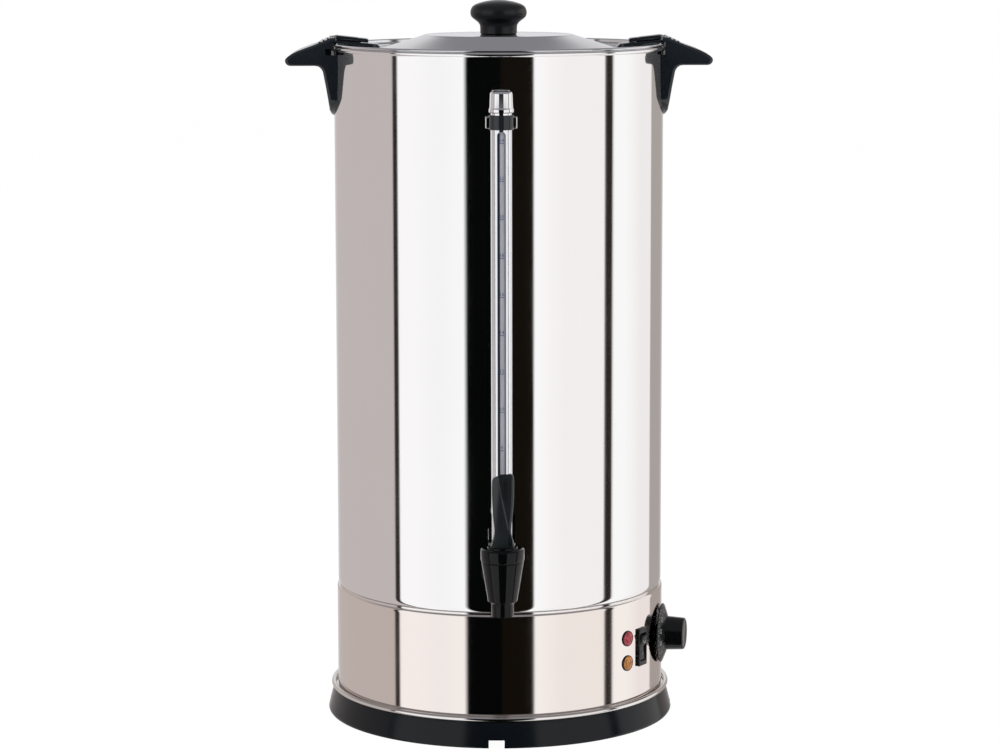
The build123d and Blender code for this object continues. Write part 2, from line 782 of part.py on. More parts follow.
# lever: front outline crossed with its side outline, round at the foot
lever_bottom = bonnet_top_z + 0.3
lever_top = 242.7
with BuildPart() as tap_lever:
    with BuildSketch(tap_front):
        with BuildLine():
            Spline(
                (10.1, lever_bottom + 4.0),
                (7.3, 190.5),
                (6.6, 195.6),
                (8.1, 207.0),
                (9.1, 220.0),
                (8.6, 234.0),
            )
            ThreePointArc((8.6, 234.0), (0, lever_top), (-8.6, 234.0))
            Spline(
                (-8.6, 234.0),
                (-9.1, 220.0),
                (-8.1, 207.0),
                (-6.6, 195.6),
                (-7.3, 190.5),
                (-10.1, lever_bottom + 4.0),
            )
            Polyline(
                (-10.1, lever_bottom + 4.0),
                (-10.1, lever_bottom),
                (10.1, lever_bottom),
                (10.1, lever_bottom + 4.0),
            )
        make_face()
    extrude(amount=15, both=True)
    with BuildSketch(Plane(origin=(0, tap_y, 0), x_dir=(0, 1, 0), z_dir=(1, 0, 0))):
        with BuildLine():
            Polyline((-7.0, lever_bottom), (7.0, lever_bottom), (7.0, lever_bottom + 6.0))
            Spline(
                (7.0, lever_bottom + 6.0), (4.4, 196.0), (2.2, 214.0), (-0.6, 232.0), (-2.8, lever_top)
            )
            Line((-2.8, lever_top), (-7.2, lever_top))
            Spline(
                (-7.2, lever_top), (-6.4, 232.0), (-4.6, 214.0), (-4.6, 196.0), (-7.0, lever_bottom + 6.0)
            )
            Line((-7.0, lever_bottom + 6.0), (-7.0, lever_bottom))
        make_face()
    extrude(amount=15, both=True, mode=Mode.INTERSECT)
    with BuildSketch(Plane.XY.offset(lever_bottom)):
        with Locations((0, tap_y)):
            Circle(10.8)
    extrude(amount=80, mode=Mode.INTERSECT)
    # slot for the stem, and the pin's bore
    with BuildSketch(Plane.XY.offset(lever_bottom)):
        with Locations((0, tap_y)):
            Rectangle(2 * stem_radius + 0.8, 30)
    extrude(amount=pin_z + 4.2 - lever_bottom, mode=Mode.SUBTRACT)
    with BuildSketch(Plane(origin=(0, tap_y, pin_z), x_dir=(0, 1, 0), z_dir=(1, 0, 0))):
        Circle(pin_radius + 0.05)
    extrude(amount=20, both=True, mode=Mode.SUBTRACT)
tap_lever.part.label = "tap_lever"
export_step(tap_lever.part, "parts/tap_lever.step")

# ---------------------------------------------------------------- sight gauge
guard_inner = 7.8
glass_radius = 5.5
slot_half_width = 3.55
slot_bottom, slot_top = 212.0, 521.3
collar_bottom = 522.5
# sleeve on the tap's boss: the guard tube slips over its spigot and the glass stands in its counterbore
sleeve_top = 205.0
sleeve_bore = 6.6
glass_seat = 190.0
with BuildPart() as gauge_foot:
    with BuildSketch(Plane.XY.offset(boss_top_z)):
        with Locations((0, gauge_y)):
            Circle(guard_radius)
    extrude(amount=sleeve_top - boss_top_z)
    with BuildSketch(Plane.XY.offset(sleeve_top)):
        with Locations((0, gauge_y)):
            Circle(guard_inner)
    extrude(amount=5.0)
    with BuildSketch(Plane.XY.offset(boss_top_z)):
        with Locations((0, gauge_y)):
            Circle(4.0)
    extrude(amount=20, mode=Mode.SUBTRACT)
    with BuildSketch(Plane.XY.offset(glass_seat)):
        with Locations((0, gauge_y)):
            Circle(sleeve_bore)
    extrude(amount=40, mode=Mode.SUBTRACT)
gauge_foot.part.label = "gauge_foot"
export_step(gauge_foot.part, "parts/gauge_foot.step")

with BuildPart() as gauge_guard:
    with BuildSketch(Plane.XY.offset(sleeve_top)):
        with Locations((0, gauge_y)):
            Circle(guard_radius)
            Circle(guard_inner, mode=Mode.SUBTRACT)
    extrude(amount=gauge_top_z - sleeve_top)
    with BuildSketch(Plane(origin=(0, gauge_y, 0), x_dir=(1, 0, 0), z_dir=(0, -1, 0))):
        with Locations((0, (slot_top + slot_bottom) / 2)):
            SlotOverall(slot_top - slot_bottom, 2 * slot_half_width, rotation=90)
    extrude(amount=12, mode=Mode.SUBTRACT)
gauge_guard.part.label = "gauge_guard"
export_step(gauge_guard.part, "parts/gauge_guard.step")

seal_height = 4.0
glass_bottom = glass_seat + 1.0
with BuildPart() as gauge_glass:
    with BuildSketch(Plane.XY.offset(glass_bottom)):
        with Locations((0, gauge_y)):
            Circle(glass_radius)
            Circle(glass_radius - 1.4, mode=Mode.SUBTRACT)
    extrude(amount=gauge_top_z + 4.0 - glass_bottom)
gauge_glass.part.label = "gauge_glass"
export_step(gauge_glass.part, "parts/gauge_glass.step")

with BuildPart() as gauge_seals:
    for bottom, seal_radius in ((glass_bottom + 2.0, sleeve_bore), (gauge_top_z - 6.0, guard_inner)):
        with BuildSketch(Plane.XY.offset(bottom)):
            with Locations((0, gauge_y)):
                Circle(seal_radius)
                Circle(glass_radius, mode=Mode.SUBTRACT)
        extrude(amount=seal_height)
gauge_seals.part.label = "gauge_seals"
export_step(gauge_seals.part, "parts/gauge_seals.step")

with BuildPart() as gauge_collar:
    with BuildSketch(Plane.XY.offset(collar_bottom)):
        with Locations((0, gauge_y)):
            Circle(10.35)
            Circle(guard_radius, mode=Mode.SUBTRACT)
    extrude(amount=gauge_top_z - collar_bottom)
gauge_collar.part.label = "gauge_collar"
export_step(gauge_collar.part, "parts/gauge_collar.step")

# chrome bracket between the collar and the tank
bracket_front = gauge_y - 3.5
with BuildPart() as gauge_bracket:
    with BuildSketch(Plane.XY.offset(collar_bottom + 1.2)):
        with Locations((0, (bracket_front - tank_radius + 2.0) / 2)):
            RectangleRounded(26.0, 2.0 - tank_radius - bracket_front, 2.2)
        with Locations((0, gauge_y)):
            Circle(10.35, mode=Mode.SUBTRACT)
        Circle(tank_radius, mode=Mode.SUBTRACT)
    extrude(amount=gauge_top_z - collar_bottom - 2.4)
    with BuildSketch(wall_plane(0, tank_radius - 2, bracket_screw_z)):
        Circle(bracket_screw_radius)
    extrude(amount=5.2, mode=Mode.SUBTRACT)
gauge_bracket.part.label = "gauge_bracket"
export_step(gauge_bracket.part, "parts/gauge_bracket.step")

with BuildPart() as bracket_screw:
    with BuildSketch(wall_plane(0, tank_inner - 2.5, bracket_screw_z)):
        Circle(4.0)
    extrude(amount=2.4)
    with BuildSketch(wall_plane(0, tank_inner - 0.5, bracket_screw_z)):
        Circle(bracket_screw_radius)
    extrude(amount=4.6)
bracket_screw.part.label = "bracket_screw"
export_step(bracket_screw.part, "parts/bracket_screw.step")

with BuildPart() as gauge_cap:
    with BuildSketch(Plane.XY.offset(gauge_top_z)):
        with Locations((0, gauge_y)):
            Circle(8.6)
    extrude(amount=1.8)
    with BuildSketch(Plane.XY.offset(gauge_top_z + 1.8)):
        with Locations((0, gauge_y)):
            Circle(10.3)
    extrude(amount=3.8)
    fillet(gauge_cap.edges().group_by(Axis.Z)[-1], 1.2)
    with BuildSketch(Plane.XY.offset(gauge_top_z + 5.6)):
        with Locations((0, gauge_y)):
            Circle(9.7)
    with BuildSketch(Plane.XY.offset(gauge_top_z + 17.9)):
        with Locations((0, gauge_y)):
            Circle(9.2)
    loft()
    with BuildSketch(Plane.XY.offset(gauge_top_z + 17.9)):
        with Locations((0, gauge_y)):
            Circle(9.2)
    with BuildSketch(Plane.XY.offset(gauge_top_z + 19.5)):
        with Locations((0, gauge_y)):
            Circle(6.7)
    loft()
    with BuildSketch(Plane.XY.offset(gauge_top_z)):
        with Locations((0, gauge_y)):
            Circle(glass_radius)
    extrude(amount=4.0, mode=Mode.SUBTRACT)
gauge_cap.part.label = "gauge_cap"
export_step(gauge_cap.part, "parts/gauge_cap.step")

# ---------------------------------------------------------------- lamps
lens_radius = 6.85
for colour, height in lamp_heights.items():
    with BuildPart() as lamp_lens:
        with BuildSketch(wall_plane(lamp_azimuth, shell_radius + 0.1, height)):
            Circle(lens_radius)
        extrude(amount=2.0)
        fillet(lamp_lens.edges().filter_by(GeomType.CIRCLE).sort_by_distance((0, 0, height))[-1], 1.4)
    lamp_lens.part.label = "lamp_lens_" + colour
    export_step(lamp_lens.part, "parts/lamp_lens_" + colour + ".step")

    with BuildPart() as lamp_body:
        with BuildSketch(wall_plane(lamp_azimuth, shell_radius - 24, height)):
            Circle(lamp_hole - 0.1)
        extrude(amount=24.1)
        with BuildSketch(wall_plane(lamp_azimuth, shell_radius - 30, height)):
            with GridLocations(0, 5, 1, 2):
                Rectangle(4.8, 0.8)
        extrude(amount=6)
    lamp_body.part.label = "lamp_body_" + colour
    export_step(lamp_body.part, "parts/lamp_body_" + colour + ".step")

# ---------------------------------------------------------------- rocker switch
bezel_width, bezel_height, bezel_depth = 13.8, 32.8, 2.2
rocker_half_width = 4.75
rocker_half_height = 11.9
rocker_tilt = 9.0
switch_face = shell_radius + bezel_depth
switch_plane = wall_plane(switch_azimuth, switch_face, switch_z)
rocker_pivot = wall_plane(switch_azimuth, switch_face - 3.4, switch_z)
with BuildPart() as switch_housing:
    with BuildSketch(switch_plane):
        RectangleRounded(bezel_width, bezel_height, 1.2)
    extrude(amount=-bezel_depth - 1)
    with BuildSketch(Plane.XY):
        Circle(shell_radius)
    extrude(amount=200, mode=Mode.SUBTRACT)
    with BuildSketch(switch_plane):
        Rectangle(switch_body_width, switch_body_height)
    extrude(amount=-22)
    with BuildSketch(switch_plane.offset(-22)):
        with GridLocations(0, 9, 1, 2):
            Rectangle(0.8, 6.3)
    extrude(amount=-8)
    with BuildSketch(switch_plane):
        Rectangle(2 * rocker_half_width + 0.7, 2 * rocker_half_height + 0.8)
    extrude(amount=-12, mode=Mode.SUBTRACT)
    with BuildSketch(Plane(origin=rocker_pivot.origin, x_dir=(0, 0, 1), z_dir=rocker_pivot.x_dir)):
        Circle(1.05)
    extrude(amount=bezel_width, both=True, mode=Mode.SUBTRACT)
switch_housing.part.label = "switch_housing"
export_step(switch_housing.part, "parts/switch_housing.step")

# shallow V-shaped rocker, at rest with its lower half pressed in
lean = radians(rocker_tilt)
rocker_side = Plane(
    origin=rocker_pivot.origin,
    x_dir=rocker_pivot.z_dir * cos(lean) - rocker_pivot.y_dir * sin(lean),
    z_dir=rocker_pivot.x_dir,
)
with BuildPart() as switch_rocker:
    with BuildSketch(rocker_side):
        with BuildLine():
            Polyline((-4.0, 0), (-4.0, -9.0), (2.0, -12.0), (5.0, -12.0), (2.4, 0))
            Polyline((-4.0, 0), (-4.0, 9.0), (2.0, 12.0), (5.0, 12.0), (2.4, 0))
        make_face()
        Circle(rocker_half_height - 0.3, mode=Mode.INTERSECT)
    extrude(amount=rocker_half_width, both=True)
    with BuildSketch(rocker_side):
        Circle(1.0)
    extrude(amount=rocker_half_width + 1.2, both=True)
switch_rocker.part.label = "switch_rocker"
export_step(switch_rocker.part, "parts/switch_rocker.step")

# ---------------------------------------------------------------- thermostat and dial
dial_back = 1.5              # gap between the shell and the dial
skirt_radius = 25.8
skirt_rim, skirt_top, grip_end = 1.0, 6.5, 22.6
dial_axis = wall_plane(dial_azimuth, shell_radius, dial_z)
with BuildPart() as thermostat:
    with BuildSketch(dial_axis.offset(-24)):
        RectangleRounded(36, 34, 4)
    extrude(amount=16)
    with BuildSketch(dial_axis.offset(-8)):
        Circle(dial_bush_radius)
    extrude(amount=9.2)
    with BuildSketch(dial_axis.offset(-14)):
        Circle(3.05)
    extrude(amount=20, mode=Mode.SUBTRACT)
thermostat.part.label = "thermostat"
export_step(thermostat.part, "parts/thermostat.step")

with BuildPart() as thermostat_shaft:
    with BuildSketch(dial_axis.offset(-12)):
        Circle(3.0)
    extrude(amount=26)
thermostat_shaft.part.label = "thermostat_shaft"
export_step(thermostat_shaft.part, "parts/thermostat_shaft.step")

with BuildPart() as dial:
    with BuildSketch(dial_axis.offset(dial_back)):
        Circle(skirt_radius)
    extrude(amount=skirt_rim)
    with BuildSketch(dial_axis.offset(dial_back + skirt_rim)):
        Circle(skirt_radius)
    with BuildSketch(dial_axis.offset(skirt_top)):
        Circle(15.6)
    loft()
    with BuildSketch(dial_axis.offset(skirt_top)):
        Circle(14.9)
    with BuildSketch(dial_axis.offset(grip_end)):
        Circle(13.8)
    loft()
    with BuildSketch(dial_axis.offset(dial_back)):
        Circle(22.0)
        Circle(7.0, mode=Mode.SUBTRACT)
    extrude(amount=1.4, mode=Mode.SUBTRACT)
    with BuildSketch(dial_axis.offset(dial_back)):
        Circle(3.0)
    extrude(amount=14 - dial_back, mode=Mode.SUBTRACT)
dial.part.label = "dial"
export_step(dial.part, "parts/dial.step")

# sensing bulb clipped under the heater, with its capillary back to the thermostat
with BuildPart() as sensor_bulb:
    with BuildSketch(Plane(origin=(-35, -20, heater_bottom - 3.0), x_dir=(0, 1, 0), z_dir=(1, 0, 0))):
        Circle(3.0)
    extrude(amount=70)
sensor_bulb.part.label = "sensor_bulb"
export_step(sensor_bulb.part, "parts/sensor_bulb.step")

# ---------------------------------------------------------------- boil-dry cut-out and its reset button
plate_top = plate_bottom + 1.2
with BuildPart() as boil_dry_cutout:
    with BuildSketch(Plane.XY.offset(plate_top)):
        with Locations(button_place):
            RectangleRounded(24, 24, 3)
            Circle(button_radius + 0.15, mode=Mode.SUBTRACT)
    extrude(amount=14)
    with BuildSketch(Plane.XY.offset(plate_top + 14)):
        with Locations(button_place):
            RectangleRounded(24, 24, 3)
    extrude(amount=4)
boil_dry_cutout.part.label = "boil_dry_cutout"
export_step(boil_dry_cutout.part, "parts/boil_dry_cutout.step")

with BuildPart() as reset_button:
    with BuildSketch(Plane.XY.offset(plate_bottom - 1.5)):
        with Locations(button_place):
            Circle(button_radius)
    extrude(amount=12)
    fillet(reset_button.edges().group_by(Axis.Z)[0], 1.0)
reset_button.part.label = "reset_button"
export_step(reset_button.part, "parts/reset_button.step")

# ---------------------------------------------------------------- mains inlet at the back
inlet_face = shell_radius + 4.0
inlet_plane = wall_plane(180, inlet_face, inlet_z)
with BuildPart() as mains_inlet:
    with BuildSketch(inlet_plane):
        RectangleRounded(50, 30, 4)
    extrude(amount=-9)
    with BuildSketch(Plane.XY):
        Circle(shell_radius)
    extrude(amount=200, mode=Mode.SUBTRACT)
    with BuildSketch(inlet_plane):
        Rectangle(inlet_body_width, inlet_body_height)
    extrude(amount=-30)
    with BuildSketch(inlet_plane):
        RectangleRounded(28, 19, 2)
    extrude(amount=-19, mode=Mode.SUBTRACT)
    with BuildSketch(inlet_plane):
        with GridLocations(41.5, 0, 2, 1):
            Circle(1.7)
    extrude(amount=-20, mode=Mode.SUBTRACT)
mains_inlet.part.label = "mains_inlet"
export_step(mains_inlet.part, "parts/mains_inlet.step")

with BuildPart() as inlet_pins:
    with BuildSketch(inlet_plane.offset(-19)):
        with Locations((-7, 1.5), (0, -3.5), (7, 1.5)):
            Rectangle(2, 5)
    extrude(amount=15)
inlet_pins.part.label = "inlet_pins"
export_step(inlet_pins.part, "parts/inlet_pins.step")

with BuildPart() as inlet_screws:
    with BuildSketch(inlet_plane):
        with GridLocations(41.5, 0, 2, 1):
            Circle(3.0)
    extrude(amount=1.6)
    with BuildSketch(inlet_plane):
        with GridLocations(41.5, 0, 2, 1):
            Circle(1.7)
    extrude(amount=-3.2)
inlet_screws.part.label = "inlet_screws"
export_step(inlet_screws.part, "parts/inlet_screws.step")

with BuildPart() as terminal_block:
    with BuildSketch(Plane.XY.offset(plate_top)):
        with Locations((50, 60)):
            Rectangle(40, 22)
    extrude(amount=6)
    with BuildSketch(Plane.XY.offset(plate_top + 6)):
        with Locations((50, 60)):
            with GridLocations(13, 0, 3, 1):
                Rectangle(10, 20)
    extrude(amount=10)
terminal_block.part.label = "terminal_block"
export_step(terminal_block.part, "parts/terminal_block.step")
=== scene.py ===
import json
from math import asin, atan2, cos, pi, radians, sin

import bmesh
import bpy
from mathutils import Matrix, Vector


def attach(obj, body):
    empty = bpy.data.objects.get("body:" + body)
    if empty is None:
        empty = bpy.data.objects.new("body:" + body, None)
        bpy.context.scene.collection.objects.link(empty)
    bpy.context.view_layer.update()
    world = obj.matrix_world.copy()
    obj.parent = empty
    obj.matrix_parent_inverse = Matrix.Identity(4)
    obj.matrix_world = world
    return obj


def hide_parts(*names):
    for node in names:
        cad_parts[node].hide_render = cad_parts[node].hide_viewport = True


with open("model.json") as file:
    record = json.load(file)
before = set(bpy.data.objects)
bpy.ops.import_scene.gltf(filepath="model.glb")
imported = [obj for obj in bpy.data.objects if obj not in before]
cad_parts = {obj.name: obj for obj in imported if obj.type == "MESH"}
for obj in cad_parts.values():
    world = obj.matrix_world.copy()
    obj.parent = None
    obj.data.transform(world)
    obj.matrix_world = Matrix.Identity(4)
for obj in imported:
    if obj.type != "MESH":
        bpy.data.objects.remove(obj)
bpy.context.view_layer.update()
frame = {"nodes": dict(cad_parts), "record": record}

mm = 0.001


# ---------------------------------------------------------------- camera
# A long lens that stands a hair to the left of the tap and a little higher than the lid, and looks slightly
# down. Its roll and shift set the urn's place in the frame.
camera_distance = 2724.68 * mm
camera_height = 691.845 * mm
camera_azimuth = radians(-0.75)
camera_pitch = radians(8.249)
camera_roll = radians(-0.1056)
camera_data = bpy.data.cameras.new("studio_camera")
camera_data.sensor_fit = "HORIZONTAL"
camera_data.sensor_width = 36.0
camera_data.lens = 112.811
camera_data.shift_x = 0.00079
camera_data.clip_start = 0.05
camera_data.clip_end = 100
camera = bpy.data.objects.new("studio_camera", camera_data)
bpy.context.scene.collection.objects.link(camera)
camera.matrix_world = (
    Matrix.Rotation(camera_azimuth, 4, "Z")
    @ Matrix.Translation((0, -camera_distance, camera_height))
    @ Matrix.Rotation(pi / 2 - camera_pitch, 4, "X")
    @ Matrix.Rotation(camera_roll, 4, "Z")
)
bpy.context.scene.camera = camera


# ---------------------------------------------------------------- studio
# The surroundings hold white cards to the left and right of the urn, a dark gap behind the camera and thin
# dark flags between the cards, which the polished steel shows as upright bands. All else is plain white.
def linear(colour):
    """Turns an sRGB hex colour such as "#BDB3B0" into linear red, green, blue and alpha."""
    channels = [int(colour[place : place + 2], 16) / 255 for place in (1, 3, 5)]
    return [c / 12.92 if c <= 0.04045 else ((c + 0.055) / 1.055) ** 2.4 for c in channels] + [1.0]


def add_node(tree, kind, settings=(), inputs=()):
    """Adds a node, sets its properties, and fills each named input with a value or a link."""
    node = tree.nodes.new(kind)
    for name, value in dict(settings).items():
        setattr(node, name, value)
    for name, value in dict(inputs).items():
        if isinstance(value, bpy.types.NodeSocket):
            tree.links.new(value, node.inputs[name])
        else:
            node.inputs[name].default_value = value
    return node


def mixed(tree, share, first, second):
    """Mixes two colours, or links, by a share and returns the mixed colour to link onwards."""
    mix = add_node(tree, "ShaderNodeMix", {"data_type": "RGBA"}, {"Factor": share, "A": first, "B": second})
    return mix.outputs["Result"]


def mixed_shader(tree, share, first, second):
    """Mixes two shaders by a share and returns the mixed one to link onwards."""
    return add_node(tree, "ShaderNodeMixShader", {}, {0: share, 1: first, 2: second}).outputs[0]


def ranged(tree, value, old, new, curve="LINEAR"):
    """Rescales a value from an old range to a new one and returns it to link onwards."""
    limits = {"From Min": old[0], "From Max": old[1], "To Min": new[0], "To Max": new[1]}
    node = add_node(tree, "ShaderNodeMapRange", {"interpolation_type": curve}, {"Value": value, **limits})
    return node.outputs["Result"]


bpy.context.scene.view_settings.view_transform = "Standard"
world = bpy.data.worlds.new("white_studio")
world.use_nodes = True
bpy.context.scene.world = world
sky = world.node_tree
sky.nodes.clear()
card_white, card_grey, card_warm = "#FFFEFF", "#AAA3A0", "#C1B9B7"
card_bright, card_right, card_behind = "#FFFFFF", "#F8F5F4", "#E2E2E5"
card_left, card_side = "#FBFBFC", "#F4F0F0"
gap_black, gap_brown, flag_dark = "#050606", "#130F0B", "#2B2624"
ceiling_grey, paper_white, pure_white = "#86868A", "#F2F2F2", "#FFFFFF"
# shades within one card run into each other, and cards, gap and flags meet at a clean edge
soft_join, clean_join = 11 * 0.9 / 360, 0.45 / 360
# azimuth in degrees from the front towards +X at which each band begins, its colour and how it joins on
bands = [
    (-180.0, card_behind, clean_join),
    (-168.0, card_warm, soft_join),
    (-79.3, flag_dark, clean_join),
    (-75.0, card_white, clean_join),
    (-52.0, card_left, soft_join),
    (-34.0, card_bright, soft_join),
    (-24.2, gap_black, clean_join),
    (1.0, gap_brown, clean_join),
    (23.2, card_bright, clean_join),
    (36.0, card_right, soft_join),
    (78.4, flag_dark, clean_join),
    (85.6, card_bright, clean_join),
    (108.0, card_side, soft_join),
    (133.0, card_grey, clean_join),
    (168.0, card_behind, soft_join),
]
direction = add_node(sky, "ShaderNodeTexCoord")
compass = add_node(sky, "ShaderNodeSeparateXYZ", {}, {"Vector": direction.outputs["Generated"]})
southward = add_node(sky, "ShaderNodeMath", {"operation": "MULTIPLY"}, {0: compass.outputs["Y"], 1: -1.0})
azimuth = add_node(
    sky, "ShaderNodeMath", {"operation": "ARCTAN2"}, {0: compass.outputs["X"], 1: southward.outputs[0]}
)
share = ranged(sky, azimuth.outputs[0], (-pi, pi), (0, 1))
band_ramp = add_node(sky, "ShaderNodeValToRGB", {}, {"Fac": share})
stops = band_ramp.color_ramp.elements
stops[0].position = 0.0
stops[0].color = linear(bands[0][1])
stops.remove(stops[1])
for (start, colour, join), (_, before, _) in zip(bands[1:], bands[:-1]):
    place = (start + 180) / 360
    stops.new(place - join).color = linear(before)
    stops.new(place + join).color = linear(colour)
# overhead the cards give way to a plain grey ceiling
overhead = ranged(sky, compass.outputs["Z"], (0.3, 0.55), (0, 1), curve="SMOOTHSTEP")
ceiling = mixed(sky, overhead, band_ramp.outputs["Color"], linear(ceiling_grey))
ray = add_node(sky, "ShaderNodeLightPath")
seen_in_metal = add_node(sky, "ShaderNodeBackground", {}, {"Color": ceiling, "Strength": 1.0})
even_light = add_node(sky, "ShaderNodeBackground", {}, {"Color": linear(pure_white), "Strength": 0.62})
plain_white = add_node(sky, "ShaderNodeBackground", {}, {"Color": linear(pure_white), "Strength": 1.0})
lit = mixed_shader(sky, ray.outputs["Is Glossy Ray"], even_light.outputs[0], seen_in_metal.outputs[0])
shown_white = add_node(
    sky,
    "ShaderNodeMath",
    {"operation": "MAXIMUM"},
    {0: ray.outputs["Is Camera Ray"], 1: ray.outputs["Is Transmission Ray"]},
)
seen = mixed_shader(sky, shown_white.outputs[0], lit, plain_white.outputs[0])
add_node(sky, "ShaderNodeOutputWorld", {}, {"Surface": seen})

floor_mesh = bpy.data.meshes.new("studio_floor")
floor_shape = bmesh.new()
bmesh.ops.create_circle(floor_shape, cap_ends=True, radius=9.0, segments=96)
floor_shape.to_mesh(floor_mesh)
floor_shape.free()
studio_floor = bpy.data.objects.new("studio_floor", floor_mesh)
bpy.context.scene.collection.objects.link(studio_floor)
# white paper that takes the shadow under the urn, and that the steel looks through to see the cards
paper = bpy.data.materials.new("white_paper")
paper.use_nodes = True
sheet = paper.node_tree
sheet.nodes.clear()
paper_ray = add_node(sheet, "ShaderNodeLightPath")
paper_shade = add_node(sheet, "ShaderNodeBsdfDiffuse", {}, {"Color": linear(paper_white)})
paper_glow = add_node(sheet, "ShaderNodeEmission", {}, {"Color": linear(pure_white), "Strength": 1.02})
glow_share = 0.95
paper_seen = mixed_shader(sheet, glow_share, paper_shade.outputs[0], paper_glow.outputs[0])
paper_front = mixed_shader(sheet, paper_ray.outputs["Is Camera Ray"], paper_shade.outputs[0], paper_seen)
paper_clear = add_node(sheet, "ShaderNodeBsdfTransparent")
paper_mix = mixed_shader(sheet, paper_ray.outputs["Is Glossy Ray"], paper_front, paper_clear.outputs[0])
add_node(sheet, "ShaderNodeOutputMaterial", {}, {"Surface": paper_mix})
floor_mesh.materials.append(paper)

lamp_target = Vector((0, 0, 0.3))
for lamp_name, lamp_place, lamp_size, lamp_power in (
    ("softbox_left", (-1.5, -1.4, 1.9), 1.2, 34.0),
    ("softbox_right", (1.6, -0.9, 1.5), 1.0, 20.0),
):
    lamp_data = bpy.data.lights.new(lamp_name, "AREA")
    lamp_data.shape = "SQUARE"
    lamp_data.size = lamp_size
    lamp_data.energy = lamp_power
    softbox = bpy.data.objects.new(lamp_name, lamp_data)
    softbox.location = lamp_place
    softbox.rotation_euler = (lamp_target - Vector(lamp_place)).to_track_quat("-Z", "Y").to_euler()
    softbox.visible_glossy = False
    bpy.context.scene.collection.objects.link(softbox)


# ---------------------------------------------------------------- tank
# A rolled and welded sheet of 18/8 stainless steel 1 mm thick, polished to a mirror. Its rim is rolled over
# into a bead, and its lower edge is turned in where it drops into the base shell.
tank_radius = 142.5
tank_inner = 141.5
rim_top = 584.8
seam_z = 113.5
round_steps = 360
# a profile that reaches the axis stops this far from it
hub = 0.01


def turned(profile, steps=round_steps, centre=(0, 0), closed=True):
    """Spins a profile of (radius, height) points in millimetres about an upright axis."""
    shape = bmesh.new()
    corners = [shape.verts.new(((centre[0] + r) * mm, centre[1] * mm, z * mm)) for r, z in profile]
    rim = list(zip(corners, corners[1:] + corners[:1])) if closed else list(zip(corners, corners[1:]))
    for a, b in rim:
        shape.edges.new((a, b))
    bmesh.ops.spin(
        shape,
        geom=shape.verts[:] + shape.edges[:],
        cent=(centre[0] * mm, centre[1] * mm, 0),
        axis=(0, 0, 1),
        angle=2 * pi,
        steps=steps,
        use_merge=True,
    )
    bmesh.ops.remove_doubles(shape, verts=shape.verts[:], dist=1e-6)
    bmesh.ops.recalc_face_normals(shape, faces=shape.faces[:])
    return shape


def made(name, shape, crease=32):
    """Turns a finished bmesh into an object, smooth except where faces meet beyond the crease angle."""
    mesh = bpy.data.meshes.new(name)
    shape.to_mesh(mesh)
    shape.free()
    mesh.polygons.foreach_set("use_smooth", [True] * len(mesh.polygons))
    mesh.set_sharp_from_angle(angle=radians(crease))
    piece = bpy.data.objects.new(name, mesh)
    bpy.context.scene.collection.objects.link(piece)
    return piece


def fitted(piece, material, body, slot, *nodes):
    """Gives a piece its material and its body, and hides the nodes that it stands for. The finish slot is
    not used.
    """
    piece.data.materials.clear()
    piece.data.materials.append(material)
    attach(piece, body)
    if nodes:
        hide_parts(*nodes)
    return piece


def principled(name, **values):
    """Starts a material from one Principled shader with plain values on its own sockets."""
    material = bpy.data.materials.new(name)
    material.use_nodes = True
    tree = material.node_tree
    shader = tree.nodes["Principled BSDF"]
    for socket, value in values.items():
        shader.inputs[socket.replace("_", " ")].default_value = value
    return material, tree, shader


def shaded(colour, share):
    """Turns an sRGB hex colour into a linear one that is a share as bright."""
    return [channel * share for channel in linear(colour)[:3]] + [1]


def streaked(tree, width, length):
    """Stretches a place on a piece so that noise makes upright streaks, their size in millimetres."""
    place = add_node(tree, "ShaderNodeTexCoord").outputs["Object"]
    scale = (1 / (width * mm), 1 / (width * mm), 1 / (length * mm))
    return add_node(tree, "ShaderNodeMapping", {}, {"Vector": place, "Scale": scale}).outputs[0]


def noise(tree, place, scale, detail=2.0, roughness=0.5):
    """Adds a noise texture and returns its strength to link onwards."""
    inputs = {"Vector": place, "Scale": scale, "Detail": detail, "Roughness": roughness}
    return add_node(tree, "ShaderNodeTexNoise", {}, inputs).outputs["Fac"]


def bumped(tree, height, strength, depth):
    """Bumps a surface by a height, to a depth in millimetres, and returns the normal to link onwards."""
    inputs = {"Height": height, "Strength": strength, "Distance": depth * mm}
    return add_node(tree, "ShaderNodeBump", {}, inputs).outputs["Normal"]


def wired(tree, shader, **sources):
    """Links each source to the shader's socket of that name, such as Base_Color."""
    for socket, source in sources.items():
        tree.links.new(source, shader.inputs[socket.replace("_", " ")])


def mirror_steel(name, tint, haze=0.05, line_depth=0.05):
    """Buffed steel: sharp reflections, with a trace of upright roll lines and handling haze."""
    material, tree, shader = principled(name, Metallic=1.0)
    place = add_node(tree, "ShaderNodeTexCoord").outputs["Object"]
    lines = noise(tree, streaked(tree, width=1.2, length=90), 1.0, detail=4.0, roughness=0.6)
    cloud = noise(tree, place, 9.0, detail=3.0)
    wear = add_node(tree, "ShaderNodeMix", {"data_type": "FLOAT"}, {"Factor": 0.6, "A": lines, "B": cloud})
    wired(
        tree,
        shader,
        Base_Color=mixed(tree, cloud, shaded(tint, 0.97), linear(tint)),
        Roughness=ranged(tree, wear.outputs["Result"], (0.3, 0.7), (haze * 0.6, haze * 1.5)),
        Normal=bumped(tree, lines, line_depth, 0.02),
    )
    return material


